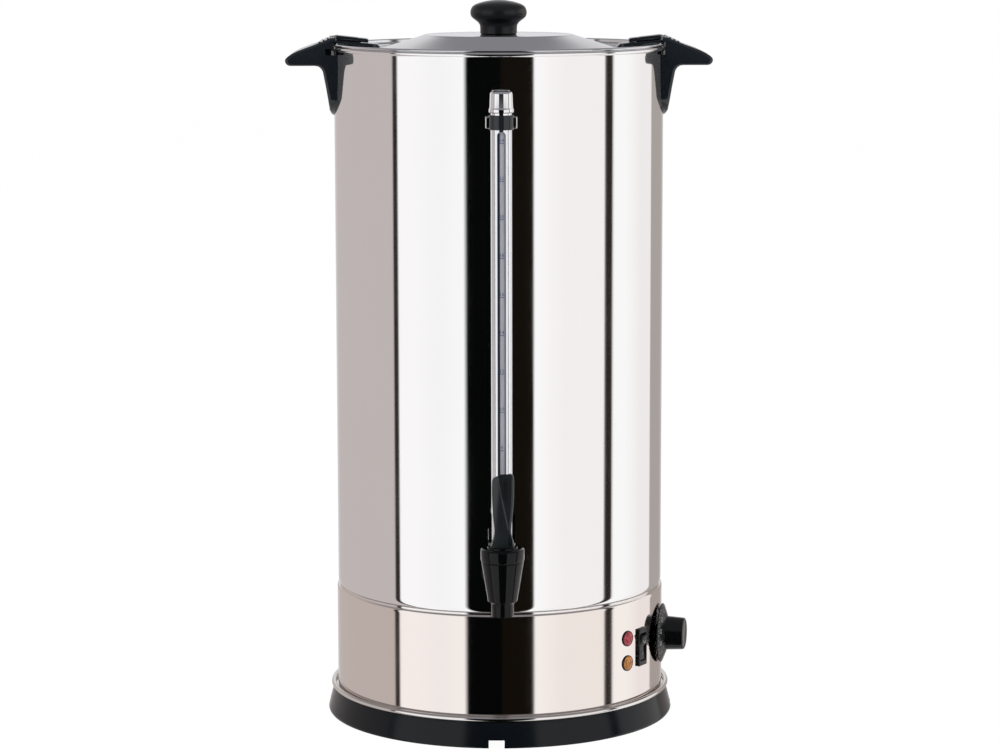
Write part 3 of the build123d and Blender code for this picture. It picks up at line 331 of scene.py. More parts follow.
polished_tank = mirror_steel("polished_18_8_sheet", "#FAF9F9")
tank_foot = seam_z - 9
tank_profile = [
    (140.5, tank_foot),
    (140.5, seam_z + 0.6),
    (141.3, seam_z + 1.3),
    (142.0, seam_z + 2.7),
    (142.4, seam_z + 4.4),
    (tank_radius, seam_z + 6),
    (tank_radius, seam_z + 8),
    (tank_radius, 579.0),
    (tank_radius, 581.0),
    (143.9, 581.0),
    (144.8, 581.4),
    (145.3, 582.1),
    (145.5, 582.9),
    (145.3, 583.7),
    (144.8, 584.4),
    (143.9, rim_top),
    (143.1, rim_top),
    (142.2, 584.4),
    (141.7, 583.6),
    (tank_inner, 582.6),
    (tank_inner, 580.0),
    (tank_inner, seam_z + 8),
    (tank_inner, seam_z + 6),
    (139.5, seam_z + 1.2),
    (139.5, tank_foot),
]
tank = made("tank_wall", turned(tank_profile))
fitted(tank, polished_tank, "urn", "polished_tank", "tank")

# the floor is pressed from the same sheet, with an upturned flange
floor_inside = 130.0
floor_profile = [
    (hub, floor_inside),
    (134.0, floor_inside),
    (137.5, floor_inside),
    (139.6, floor_inside + 0.9),
    (140.5, floor_inside + 3),
    (140.5, floor_inside + 5),
    (tank_inner, floor_inside + 5),
    (tank_inner, floor_inside + 2.4),
    (140.6, floor_inside + 0.4),
    (138.1, floor_inside - 1),
    (hub, floor_inside - 1),
]
tank_floor = made("tank_floor_pan", turned(floor_profile, steps=180))
fitted(tank_floor, polished_tank, "urn", "polished_tank", "tank_floor")


# ---------------------------------------------------------------- base shell
# A second ring of polished stainless sheet, a millimetre prouder than the tank, rolled in at the top to
# carry it and pierced for the switch and the mains inlet. The lamps and the dial cover their own holes.
def on_wall(azimuth, radius, height):
    """Places a piece on the urn's wall: X to the right, Y up and Z outwards for someone facing it."""
    turn = radians(azimuth)
    right = Vector((cos(turn), sin(turn), 0))
    out = Vector((sin(turn), -cos(turn), 0))
    place = Matrix((right, Vector((0, 0, 1)), out)).transposed().to_4x4()
    place.translation = (out * radius + Vector((0, 0, height))) * mm
    return place


def add_box(shape, size, place=Matrix()):
    """Adds a plain box to a shape, from its size in millimetres and a matrix."""
    scale = Matrix.Diagonal((size[0] * mm, size[1] * mm, size[2] * mm, 1))
    bmesh.ops.create_cube(shape, size=1.0, matrix=place @ scale)


def block(size, place, edge=0.0, segments=2):
    """Makes a box from its size in millimetres and a matrix, and rounds its edges by the edge given."""
    shape = bmesh.new()
    add_box(shape, size)
    if edge:
        bmesh.ops.bevel(
            shape,
            geom=shape.edges[:],
            offset=edge * mm,
            segments=segments,
            profile=0.5,
            affect="EDGES",
            material=-1,
            clamp_overlap=True,
        )
    bmesh.ops.transform(shape, matrix=place, verts=shape.verts[:])
    return shape


def carved(shape, *tools, how="DIFFERENCE"):
    """Cuts the tools out of a shape, or joins or crosses them with it, and returns the result."""
    piece = made("blank", shape)
    helpers = [made("tool", tool) for tool in tools]
    for helper in helpers:
        step = piece.modifiers.new("carve", "BOOLEAN")
        step.operation = how
        step.solver = "EXACT"
        step.object = helper
    bpy.context.view_layer.update()
    mesh = bpy.data.meshes.new_from_object(piece.evaluated_get(bpy.context.evaluated_depsgraph_get()))
    result = bmesh.new()
    result.from_mesh(mesh)
    bpy.data.meshes.remove(mesh)
    for used in [piece] + helpers:
        bpy.data.objects.remove(used)
    return result


shell_radius = 143.5
shell_inner = 142.6
switch_azimuth, switch_z = 57.7, 70.2
inlet_z = 62.0
switch_hole, inlet_hole = (12.8, 28.0, 12.0), (33.4, 24.4, 12.0)
polished_shell = mirror_steel("polished_shell_sheet", "#F5EDE8", haze=0.06)
shell_profile = [
    (140.6, seam_z - 1.4),
    (140.6, seam_z - 0.6),
    (141.9, seam_z - 0.6),
    (142.7, seam_z - 0.8),
    (143.2, seam_z - 1.4),
    (shell_radius, seam_z - 2.4),
    (shell_radius, seam_z - 4.0),
    (shell_radius, 24.2),
    (shell_radius, 22.5),
    (134.5, 22.5),
    (134.5, 23.4),
    (shell_inner, 23.4),
    (shell_inner, seam_z - 4.0),
    (shell_inner, seam_z - 2.4),
    (141.6, seam_z - 1.4),
]
base_shell = made(
    "base_shell_ring",
    carved(
        turned(shell_profile),
        block(switch_hole, on_wall(switch_azimuth, shell_radius - 1, switch_z)),
        block(inlet_hole, on_wall(180, shell_radius - 3, inlet_z)),
    ),
)
fitted(base_shell, polished_shell, "urn", "polished_shell", "base_shell")

polished_trim = mirror_steel("polished_trim_ring", "#EEEAE7", haze=0.07)
bead_centre, bead_z, bead_radius = 147.2, 24.2, 2.1
bead_arc = [
    (bead_centre + bead_radius * cos(radians(angle)), bead_z + bead_radius * sin(radians(angle)))
    for angle in range(-70, 251, 20)
]
trim_ring = made("trim_ring_bead", turned([(134.5, 22.5), (134.5, 21.5), (bead_centre, 21.5)] + bead_arc))
fitted(trim_ring, polished_trim, "urn", "polished_trim", "trim_ring")


# ---------------------------------------------------------------- foot ring
# Moulded in black plastic with a satin skin. It flares out to the floor and has four drain notches in its
# lower edge.
def moulded_plastic(name, colour, roughness, grain_mm, grain_depth, shine=0.5):
    """Black or coloured moulding: fine skin grain, uneven sheen and a few rubbed places."""
    material, tree, shader = principled(name, IOR=1.5, Specular_IOR_Level=shine)
    place = add_node(tree, "ShaderNodeTexCoord").outputs["Object"]
    grain = noise(tree, place, 1000 / grain_mm)
    rubbed = noise(tree, place, 26.0, detail=4.0)
    wired(
        tree,
        shader,
        Base_Color=mixed(tree, rubbed, shaded(colour, 0.8), shaded(colour, 1.25)),
        Roughness=ranged(tree, rubbed, (0.35, 0.65), (roughness * 0.8, roughness * 1.25)),
        Normal=bumped(tree, grain, grain_depth, 0.04),
    )
    return material


foot_plastic = moulded_plastic("satin_black_moulding", "#0A0E12", 0.14, 0.8, 0.12, shine=0.24)
foot_profile = [
    (134.0, 21.5),
    (146.4, 21.5),
    (147.0, 21.2),
    (147.3, 20.4),
    (149.3, 13.0),
    (151.6, 4.0),
    (151.95, 2.6),
    (152.0, 1.9),
    (151.8, 0.9),
    (151.2, 0.0),
    (147.8, 0.0),
    (144.4, 16.5),
    (143.8, 18.5),
    (134.0, 18.5),
]
notch_size, notch_azimuth, notch_reach = (13.4, 13.6, 30.0), -1.8, 148.0
notches = [
    block(notch_size, on_wall(notch_azimuth + 90 * quarter, notch_reach, 0.0)) for quarter in range(4)
]
foot_ring = made("foot_ring_moulding", carved(turned(foot_profile), *notches))
fitted(foot_ring, foot_plastic, "urn", "foot_plastic", "foot_ring")


# ---------------------------------------------------------------- lid
# Pressed from one stainless disc: a raised middle, a sloping cone, a flat gutter and a hemmed edge, with a
# skirt that drops inside the rim. Its polish is a little hazier than the tank's.
polished_lid = mirror_steel("polished_lid_pressing", "#EDEDEF", haze=0.11)
lid_top, gutter_z = 594.8, 583.0
hem_bottom = rim_top + 0.1
lid_profile = [
    (hub, lid_top),
    (40.0, lid_top),
    (63.6, lid_top),
    (64.6, lid_top - 0.15),
    (65.6, lid_top - 0.65),
    (67.0, 593.6),
    (99.0, 583.65),
    (100.6, 583.2),
    (102.0, gutter_z),
    (137.0, gutter_z),
    (139.2, 583.3),
    (139.7, 584.3),
    (139.8, 586.2),
    (140.4, 586.9),
    (141.2, 587.1),
    (142.6, 587.1),
    (143.5, 586.7),
    (143.8, 586.0),
    (143.5, 585.3),
    (142.6, hem_bottom),
    (141.2, hem_bottom),
    (140.6, hem_bottom + 0.4),
    (140.6, 575.2),
    (140.2, 574.5),
    (139.6, 575.0),
    (139.6, 581.6),
    (138.8, 582.0),
    (100.7, 582.0),
    (65.7, 592.9),
    (64.1, 593.8),
    (hub, 593.8),
]
lid = made("lid_pressing", turned(lid_profile), crease=20)
fitted(lid, polished_lid, "lid", "polished_lid", "lid")

# the knob is a phenolic moulding with a satin skin
knob_plastic = moulded_plastic("satin_phenolic_knob", "#111315", 0.26, 0.6, 0.15, shine=0.3)
knob_profile = [
    (hub, lid_top),
    (15.0, lid_top),
    (15.9, 595.6),
    (15.9, 600.0),
    (16.1, 602.4),
    (17.3, 604.6),
    (19.6, 606.6),
    (22.2, 608.5),
    (23.8, 610.4),
    (24.4, 612.4),
    (24.4, 614.3),
    (23.9, 616.3),
    (23.2, 617.8),
    (22.0, 619.2),
    (19.8, 620.6),
    (16.5, 621.8),
    (12.0, 623.0),
    (6.0, 624.0),
    (hub, 624.4),
]
knob = made("lid_knob_moulding", turned(knob_profile, steps=120, closed=False))
fitted(knob, knob_plastic, "lid", "satin_black", "lid_knob")


# ---------------------------------------------------------------- lid clips and latches
# Low glossy mouldings screwed to the lid's gutter on either side. Each one carries a wedge-shaped thumb
# latch, whose tongue slides out under the lip of the handle beside it.
def at(x, y, z):
    """Places a piece at a point in millimetres, without turning it."""
    return Matrix.Translation((x * mm, y * mm, z * mm))


def prism(outline, half_width, turned_by=0.0):
    """Extrudes a side outline of (reach, height) points both ways along Y, and turns it about Z."""
    shape = bmesh.new()
    side = shape.faces.new([shape.verts.new((x * mm, -half_width * mm, z * mm)) for x, z in outline])
    grown = bmesh.ops.extrude_face_region(shape, geom=[side])
    moved = [part for part in grown["geom"] if isinstance(part, bmesh.types.BMVert)]
    bmesh.ops.translate(shape, vec=(0, 2 * half_width * mm, 0), verts=moved)
    about_z = Matrix.Rotation(radians(turned_by), 3, "Z")
    bmesh.ops.rotate(shape, cent=(0, 0, 0), matrix=about_z, verts=shape.verts[:])
    bmesh.ops.recalc_face_normals(shape, faces=shape.faces[:])
    return shape


def rounded(shape, width, segments=3, above=35, only=lambda edge: True):
    """Rounds the edges that are sharper than an angle in degrees, and that a test picks if one is given."""
    bmesh.ops.dissolve_degenerate(shape, dist=1e-6, edges=shape.edges[:])
    sharp = [
        edge
        for edge in shape.edges
        if edge.is_manifold and edge.calc_face_angle() > radians(above) and only(edge)
    ]
    bmesh.ops.bevel(
        shape,
        geom=sharp,
        offset=width * mm,
        segments=segments,
        profile=0.5,
        affect="EDGES",
        material=-1,
        clamp_overlap=False,
    )
    return shape


gloss_plastic = moulded_plastic("gloss_black_moulding", "#181C20", 0.09, 1.4, 0.05, shine=0.5)
clip_inner, clip_inner_top = 104.0, 586.6
clip_slope = (590.2 - clip_inner_top) / (143.0 - clip_inner)


def clip_top(reach):
    """Height of the clip's sloping top at a distance from the urn's axis."""
    return clip_inner_top + clip_slope * (reach - clip_inner)


clip_end_top = clip_top(143.3)
clip_outline = [
    (102.5, gutter_z),
    (138.6, gutter_z),
    (138.6, 587.2),
    (143.3, 587.2),
    (143.3, clip_end_top - 0.6),
    (142.5, clip_end_top),
    (104.9, clip_top(104.9)),
    (102.5, 584.6),
]
latch_lift = 0.5
latch_outline = [
    (112.6, clip_top(112.6) + latch_lift),
    (139.8, clip_top(139.8) + latch_lift),
    (140.6, 592.2),
    (140.2, 593.2),
    (139.4, 594.0),
    (138.0, 594.1),
    (121.4, 592.3),
    (120.8, 591.6),
    (120.0, 592.0),
    (114.0, 591.3),
    (112.8, 590.6),
    (112.2, 589.8),
]


def at_inner_corner(edge):
    """Picks the two upright edges at the end of a clip's plan that faces the knob."""
    low, high = edge.verts
    return max(low.co.x, high.co.x) < 103 * mm and abs(low.co.z - high.co.z) > 10 * mm


tongue_z = 588.15
for side_name, half_turn in (("right", 0), ("left", pi)):
    to_side = Matrix.Rotation(half_turn, 4, "Z")
    plan = rounded(block((40.8, 26.0, 20.0), at(122.9, 0, 588.0)), 7.0, segments=8, only=at_inner_corner)
    plate = carved(prism(clip_outline, 20.0), plan, how="INTERSECT")
    plate = rounded(plate, 0.5, segments=2, above=50)
    plate = carved(
        plate,
        block((26.0, 15.0, 1.7), at(132.0, 0, tongue_z)),
        block((26.0, 11.0, 4.0), at(134.0, 0, 590.8)),
    )
    clip = made("lid_clip_plate_" + side_name, plate)
    clip.data.transform(to_side)
    fitted(clip, gloss_plastic, "lid", "gloss_black", "lid_clip_" + side_name)
    wedge = carved(
        rounded(prism(latch_outline, 9.5), 0.7),
        block((21.6, 14.6, 1.5), at(132.2, 0, tongue_z)),
        block((17.0, 10.6, 2.6), at(130.5, 0, 590.0)),
        how="UNION",
    )
    latch = made("lid_latch_wedge_" + side_name, wedge)
    latch.data.transform(to_side)
    fitted(latch, gloss_plastic, "latch_" + side_name, "gloss_black", "lid_latch_" + side_name)


# ---------------------------------------------------------------- handles
# One glossy moulding on each side: a leg that hugs the tank, three screws in from the inside, and a hooked
# grip whose ribbed lip reaches in over the rim. The grip is cored out from below, with webs left across it.
handle_half = 36.0
groove_floor, groove_wall = 578.4, 146.4
lip_bottom, lip_inner = 589.6, 144.2
bay_width, bay_wall, bay_lip = 24.0, 149.0, 145.6
handle_side = [
    (130.0, 520.0),
    (143.6, 520.0),
    (144.8, 525.7),
    (145.8, 530.0),
    (146.8, 541.0),
    (148.4, 551.0),
    (150.6, 563.0),
    (151.0, 564.6),
    (151.9, 566.2),
    (153.2, 567.7),
    (155.0, 568.8),
    (157.6, 569.2),
    (178.6, 569.2),
    (180.4, 569.6),
    (181.9, 570.6),
    (182.9, 572.2),
    (183.2, 574.0),
    (182.4, 575.6),
    (180.8, 577.1),
    (177.3, 579.5),
    (172.8, 581.7),
    (166.0, 584.3),
    (159.1, 586.7),
    (153.4, 589.1),
    (148.0, 591.2),
    (lip_inner, 593.0),
    (140.0, 593.4),
    (130.0, 593.4),
]
toe_rise, toe_half = 15.8, 33.0
toe_radius = (toe_half**2 + toe_rise**2) / (2 * toe_rise)
toe_angle = asin(toe_half / toe_radius)
handle_front = [(handle_half, 600.0), (handle_half, 566.0)]
toe_steps = 24
for place in range(toe_steps + 1):
    turn = toe_angle * (1 - 2 * place / toe_steps)
    handle_front.append((toe_radius * sin(turn), 525.2 + toe_radius * (1 - cos(turn))))
handle_front += [(-handle_half, 566.0), (-handle_half, 600.0)]
handle_back = tank_radius + 0.05
inside_profile = [
    (hub, 500),
    (handle_back, 500),
    (handle_back, groove_floor),
    (groove_wall, groove_floor),
    (groove_wall, lip_bottom),
    (lip_inner, lip_bottom),
    (lip_inner, 600),
    (hub, 600),
]
rib_spots = [(146.2, 592.2), (149.8, 590.6), (153.4, 589.1)]
pocket_side = [(156.5, 560.0), (156.5, 583.6), (166.5, 579.6), (177.5, 575.0), (177.5, 560.0)]
pockets = []
for pocket_y in (-25.5, -8.5, 8.5, 25.5):
    pocket = prism(pocket_side, 7.5)
    bmesh.ops.translate(pocket, vec=(0, pocket_y * mm, 0), verts=pocket.verts[:])
    pockets.append(pocket)
across_y = Matrix.Rotation(pi / 2, 4, "X")
rib_radius, rib_length = 0.9, 66
ribs_on_top = []
for rib_x, rib_z in rib_spots:
    rib = bmesh.new()
    bmesh.ops.create_cone(
        rib,
        cap_ends=True,
        segments=20,
        radius1=rib_radius * mm,
        radius2=rib_radius * mm,
        depth=rib_length * mm,
        matrix=at(rib_x, 0, rib_z) @ across_y,
    )
    ribs_on_top.append(rib)
blank = carved(prism(handle_side, 40.0), prism(handle_front, 200.0, turned_by=90), how="INTERSECT")
blank = rounded(
    blank, 2.6, segments=5, above=40, only=lambda edge: max(corner.co.x for corner in edge.verts) > 137 * mm
)
blank = carved(blank, *ribs_on_top, how="UNION")
# the bay gives the latch flat sides to run between, and a square window opens one end of the rim groove
latch_bay = block((bay_wall, bay_width, 11.2), at(bay_wall / 2, 0, groove_floor + 5.6))
lip_bay = block((bay_lip, bay_width, 20.0), at(bay_lip / 2, 0, lip_bottom + 9.9))
groove_window = block((6.8, 14.0, 5.4), at(145.1, handle_half, 581.1))
blank = carved(blank, turned(inside_profile), latch_bay, lip_bay, groove_window, *pockets)
for side_name, half_turn in (("right", 0), ("left", pi)):
    handle = made("handle_moulding_" + side_name, blank.copy(), crease=38)
    handle.data.transform(Matrix.Rotation(half_turn, 4, "Z"))
    fitted(handle, gloss_plastic, "urn", "gloss_black", "handle_" + side_name)
blank.free()


# ---------------------------------------------------------------- tap
# A glossy black tap in three mouldings: a tapering body with its nozzle and inlet arm, a bonnet screwed
# down on it, and a twisted lever with a ribbed thumb face. The lever's foot lifts the stem when it is
# tilted.
def along_wall(profile, azimuth, radius, height, steps=72, closed=True):
    """Spins a profile of (radius, distance outwards) points about an axis that stands out of the wall."""
    shape = turned(profile, steps=steps, closed=closed)
    bmesh.ops.transform(shape, matrix=on_wall(azimuth, radius, height), verts=shape.verts[:])
    return shape


def lofted(rings):
    """Bridges closed rings of points, in millimetres and all with the same count, and caps both ends."""
    shape = bmesh.new()
    loops = []
    for ring in rings:
        corners = [shape.verts.new(Vector(point) * mm) for point in ring]
        loops.append([shape.edges.new(pair) for pair in zip(corners, corners[1:] + corners[:1])])
    for near, far in zip(loops, loops[1:]):
        bmesh.ops.bridge_loops(shape, edges=near + far)
    bmesh.ops.holes_fill(shape, edges=loops[0] + loops[-1], sides=0)
    bmesh.ops.recalc_face_normals(shape, faces=shape.faces[:])
    return shape


tap_y = -187.0
gauge_y = -156.5
tap_axis, gauge_axis = (0, tap_y), (0, gauge_y)
joint_z, bonnet_top, nozzle_z = 168.7, 179.8, 122.2
tap_plastic = moulded_plastic("gloss_black_tap", "#050607", 0.07, 1.6, 0.04, shine=0.24)
body_profile = [
    (6.0, nozzle_z),
    (8.2, nozzle_z),
    (9.0, nozzle_z + 0.4),
    (9.3, nozzle_z + 1.2),
    (9.3, nozzle_z + 10.5),
    (9.6, nozzle_z + 11.3),
    (12.0, nozzle_z + 13.0),
    (12.4, nozzle_z + 13.8),
    (12.5, nozzle_z + 15.5),
    (17.3, joint_z - 1.6),
    (17.4, joint_z - 0.5),
    (17.1, joint_z),
    (14.6, joint_z),
    (14.6, joint_z - 6.2),
    (9.6, joint_z - 6.2),
    (9.6, 141.7),
    (6.0, 141.7),
]
tap_body = made("tap_body_moulding", turned(body_profile, steps=128, centre=tap_axis), crease=28)
fitted(tap_body, tap_plastic, "urn", "tap_black", "tap_body")

arm_z, boss_top = 152.0, 178.0
arm_profile = [
    (hub, 30),
    (11.0, 30),
    (11.0, 14),
    (17.0, 6.6),
    (17.0, 1.8),
    (16.6, 1.6),
    (11.0, 1.6),
    (11.0, -15),
    (7.0, -15),
    (7.0, 30),
]
tap_arm = made("tap_inlet_arm", along_wall(arm_profile, 0, tank_radius, arm_z), crease=28)
fitted(tap_arm, tap_plastic, "urn", "tap_black")
boss_profile = [(4.0, arm_z), (11.2, arm_z), (11.2, boss_top - 0.8), (10.6, boss_top), (4.0, boss_top)]
tap_boss = made("gauge_boss", turned(boss_profile, steps=72, centre=gauge_axis), crease=28)
fitted(tap_boss, tap_plastic, "urn", "tap_black")
cradle_profile = [(8.8, 177.9), (11.0, 177.9), (11.0, 202.2), (10.2, 203.0), (8.8, 203.0)]
cradle_front = block((40.0, 20.0, 60.0), at(0, gauge_y - 9.0, 190))
cradle_shape = carved(turned(cradle_profile, steps=72, centre=gauge_axis), cradle_front)
cradle = made("gauge_cradle", cradle_shape, crease=28)
fitted(cradle, tap_plastic, "urn", "tap_black")

bonnet_profile = [
    (2.7, 169.7),
    (10.0, 169.7),
    (10.0, joint_z - 6.0),
    (14.5, joint_z - 6.0),
    (14.5, joint_z + 0.1),
    (17.0, joint_z + 0.1),
    (17.7, joint_z + 0.6),
    (18.1, joint_z + 1.4),
    (18.1, bonnet_top - 2.2),
    (17.9, bonnet_top - 1.2),
    (17.3, bonnet_top - 0.4),
    (16.3, bonnet_top),
    (12.6, bonnet_top),
    (12.4, bonnet_top + 0.8),
    (12.0, bonnet_top + 1.1),
    (11.6, bonnet_top + 1.0),
    (11.3, bonnet_top),
    (2.7, bonnet_top),
]
bonnet = made("tap_bonnet_moulding", turned(bonnet_profile, steps=128, centre=tap_axis), crease=28)
fitted(bonnet, tap_plastic, "urn", "tap_black", "tap_bonnet")

lever_foot, lever_crown = bonnet_top + 0.3, 242.7
# height, left edge, right edge, front face and back face from the tap's axis
lever_rows = [
    (lever_foot, -9.9, 10.0, -7.0, 7.0),
    (182.0, -9.7, 9.9, -7.0, 7.0),
    (185.2, -8.4, 9.0, -6.8, 6.6),
    (188.6, -7.4, 8.0, -6.2, 5.8),
    (192.0, -6.7, 7.3, -5.3, 4.9),
    (195.6, -6.6, 7.2, -4.7, 4.4),
    (201.0, -7.2, 7.6, -4.5, 3.6),
    (207.0, -7.9, 8.3, -4.5, 2.9),
    (214.0, -8.3, 9.0, -4.6, 2.2),
    (220.0, -8.6, 9.3, -5.0, 1.4),
    (226.0, -8.7, 9.5, -5.6, 0.4),
    (232.0, -8.7, 9.6, -6.2, -0.6),
    (236.5, -8.6, 9.6, -6.7, -1.6),
    (239.6, -8.0, 9.4, -7.0, -2.2),
    (241.6, -6.2, 8.4, -7.1, -2.6),
    (lever_crown, -2.5, 6.6, -7.1, -2.8),
]


def twist_at(height):
    """Says how far the lever has twisted at a height: 0 near its foot and 1 near its crown."""
    twist_start, twist_length = 190.0, 45.0
    return min(1.0, max(0.0, (height - twist_start) / twist_length))


def ridge_at(height):
    """Says how far right of the tap's middle the ridge beside the thumb face is, in millimetres."""
    return 5.6 - 9.4 * twist_at(height)


lever_rings = []
for z, left, right, front_y, back_y in lever_rows:
    ridge = min(max(ridge_at(z), left + 1.2), right - 1.2)
    # the crown falls away to the left
    low_left = z - 0.32 * max(0.0, z - 236.0)
    lean = 2.6 * twist_at(z)
    lever_rings.append(
        [
            (left, tap_y + back_y, low_left),
            (left, tap_y + min(front_y + lean, back_y - 0.8), low_left),
            (ridge, tap_y + front_y, z),
            (right - 1.1, tap_y + front_y, z),
            (right, tap_y + front_y + 1.4, z),
            (right, tap_y + back_y, z),
        ]
    )
lever_shape = lofted(lever_rings)
lever_shape.normal_update()


def on_thumb_face(face):
    """Picks the faces that look forwards, between the lever's neck and its crown and right of the ridge."""
    middle = face.calc_center_median()
    within = 196 * mm < middle.z < 240.6 * mm
    return face.normal.y < -0.9 and within and middle.x > ridge_at(middle.z / mm) * mm


thumb_face = [face for face in lever_shape.faces if on_thumb_face(face)]
bmesh.ops.inset_region(lever_shape, faces=thumb_face, thickness=0.7 * mm, depth=-0.5 * mm)
rounded(lever_shape, 0.4, segments=2, above=30)
# the slot for the stem is cut at rest, halfway and full tilt about the lever's pin
pin_place = at(0, tap_y, 185.2)
stem_ways = [pin_place @ Matrix.Rotation(-radians(tilt), 4, "X") @ at(0, 8.4, -0.5) for tilt in (0, 15, 30)]
lever_plastic = moulded_plastic("satin_black_lever", "#191D1F", 0.22, 0.9, 0.1, shine=0.5)
lever_shape = carved(
    lever_shape,
    *[block((5.8, 23.0, 9.4), way) for way in stem_ways],
    block((3.4, 3.4, 9.5), at(6.4, tap_y - 6.6, 187.2)),
)
lever = made("tap_lever_moulding", lever_shape, crease=24)
fitted(lever, lever_plastic, "lever", "tap_black", "tap_lever")
ribs = bmesh.new()
# eight ribs, shorter at the ends of the row, follow the thumb face as it leans forwards
for place in range(8):
    height = 221.6 + 2.1 * place
    half = 3.4 * (1 - ((place - 3.5) / 5.2) ** 2) ** 0.5
    thumb_y = -4.6 - 0.097 * max(0.0, height - 217.0)
    add_box(ribs, (2 * half, 1.5, 0.9), at(2.2, tap_y + thumb_y + 0.25, height))
lever_ribs = made("thumb_ribs", rounded(ribs, 0.25, segments=2))
fitted(lever_ribs, lever_plastic, "lever", "tap_black")


# ---------------------------------------------------------------- sight gauge
# A glass tube inside a slotted, polished steel guard. A chrome sleeve holds it on the tap's boss, and a
# black collar, a chrome bracket and a screwed chrome cap hold it at the top. The scale is printed on the
# glass.
def drum(radius, low, high, steps=round_steps, centre=(0, 0)):
    """Makes a plain upright cylinder between two heights in millimetres."""
    return turned([(hub, low), (radius, low), (radius, high), (hub, high)], steps=steps, centre=centre)


gauge_top = 534.5
chrome_plate = mirror_steel("chrome_plate", "#F4F4F5")
polished_tube = mirror_steel("polished_tube", "#F1F3F8", haze=0.14)
sleeve_profile = [
    (4.0, 178.0),
    (8.3, 178.0),
    (8.75, 178.5),
    (8.75, 204.7),
    (8.6, 205.0),
    (7.8, 205.0),
    (7.8, 210.0),
    (6.6, 210.0),
    (6.6, 190.0),
    (4.0, 190.0),
]
sleeve = made("gauge_sleeve", turned(sleeve_profile, steps=96, centre=gauge_axis), crease=28)
fitted(sleeve, chrome_plate, "urn", "chrome_fittings", "gauge_foot")

guard_profile = [(7.8, 205.1), (8.65, 205.1), (8.75, 205.3), (8.75, gauge_top), (7.8, gauge_top)]
slot_low, slot_high, slot_half = 212.0, 521.3, 3.55
slot_shape = rounded(
    block((2 * slot_half, 20.0, slot_high - slot_low), at(0, gauge_y - 12.0, (slot_high + slot_low) / 2)),
    3.5,
    segments=8,
    only=lambda edge: abs(edge.verts[0].co.y - edge.verts[1].co.y) > 10 * mm,
)
guard_shape = carved(turned(guard_profile, steps=96, centre=gauge_axis), slot_shape)
guard = made("gauge_guard_tube", guard_shape, crease=28)
fitted(guard, polished_tube, "urn", "polished_guard", "gauge_guard")

sight_glass, glass_tree, glass_shader = principled("sight_glass", IOR=1.47, Transmission_Weight=0.25)
film = noise(glass_tree, streaked(glass_tree, width=2, length=50), 1.0)
wired(
    glass_tree,
    glass_shader,
    Base_Color=mixed(glass_tree, film, linear("#B4B6C0"), linear("#C6C8D0")),
    Roughness=ranged(glass_tree, film, (0, 1), (0, 0.06)),
)
glass_radius = 5.5
glass_profile = [(4.1, 191.0), (glass_radius, 191.0), (glass_radius, 538.5), (4.1, 538.5)]
glass = made("sight_glass_tube", turned(glass_profile, steps=64, centre=gauge_axis))
fitted(glass, sight_glass, "urn", "sight_glass", "gauge_glass")


def ink_and_painted_line(name, colour):
    """Screen-printed ink with slightly uneven cover, also used for the painted dark line down the glass."""
    material, tree, shader = principled(name, Roughness=0.45)
    place = add_node(tree, "ShaderNodeTexCoord").outputs["Object"]
    cover = noise(tree, place, 900.0)
    wired(tree, shader, Base_Color=mixed(tree, cover, shaded(colour, 0.75), shaded(colour, 1.3)))
    return material


def lettering(text, height, place):
    """Turns a figure into a flat mesh of the given height in millimetres, at a matrix."""
    curve = bpy.data.curves.new("figure", "FONT")
    curve.body = text
    # a figure is about 0.7 of the letter size
    curve.size = height * mm / 0.7
    curve.align_x = "CENTER"
    curve.align_y = "CENTER"
    curve.resolution_u = 3
    figure = bpy.data.objects.new("figure", curve)
    bpy.context.scene.collection.objects.link(figure)
    bpy.context.view_layer.update()
    mesh = bpy.data.meshes.new_from_object(figure.evaluated_get(bpy.context.evaluated_depsgraph_get()))
    bpy.data.objects.remove(figure)
    mesh.transform(place)
    return mesh


# a painted dark line runs down the glass, a little to the left of the figures, in place of the dark middle
# that the round glass shows of what lies behind it
line_place = at(0, gauge_y, 366.6) @ Matrix.Rotation(radians(-24), 4, "Z") @ at(0, 0.02 - glass_radius, 0)
line_shape = block((1.9, 0.1, 306.0), line_place)
blue_ink = ink_and_painted_line("blue_scale_ink", "#3A4C7C")
ink_reach = glass_radius + 0.06
scale_marks = bmesh.new()
# the figures count down in twos, each with a short bar below it
top_figure = 24
mark_heights = [514.0, 482.9, 451.5, 419.5, 387.2, 355.6, 323.5, 291.6, 259.3]
for place, height in enumerate(mark_heights):
    figure_place = on_wall(0, ink_reach - gauge_y, height)
    scale_marks.from_mesh(lettering(str(top_figure - 2 * place), 2.7, figure_place))
    add_box(scale_marks, (3.6, 0.06, 0.6), at(0, gauge_y - ink_reach, height - 2.4))
scale_print = made("gauge_scale_print", scale_marks)
dark_line = made("gauge_dark_line", line_shape)
# the dark line's material is painted refraction, made with the ink recipe
fitted(dark_line, ink_and_painted_line("painted_refraction_line", "#34373F"), "urn", "sight_glass")
fitted(scale_print, blue_ink, "urn", "sight_glass")

collar_radius, bracket_z = 10.35, 528.5
collar_profile = [
    (8.8, 522.5),
    (10.0, 522.5),
    (collar_radius, 522.9),
    (collar_radius, 534.1),
    (10.0, gauge_top),
    (8.8, gauge_top),
]
collar = made("gauge_collar_ring", turned(collar_profile, steps=96, centre=gauge_axis), crease=28)
fitted(collar, gloss_plastic, "urn", "gloss_black", "gauge_collar")
bracket_front, bracket_back = gauge_y - 3.5, -140.5
bracket_blank = block(
    (26.0, bracket_back - bracket_front, 9.6),
    at(0, (bracket_front + bracket_back) / 2, bracket_z),
    edge=0.7,
    segments=3,
)
collar_way = drum(collar_radius + 0.01, 500, 560, steps=96, centre=gauge_axis)
tank_way = drum(tank_radius, 500, 560)
bracket = made("gauge_bracket_block", carved(bracket_blank, collar_way, tank_way))
fitted(bracket, chrome_plate, "urn", "chrome_fittings", "gauge_bracket")
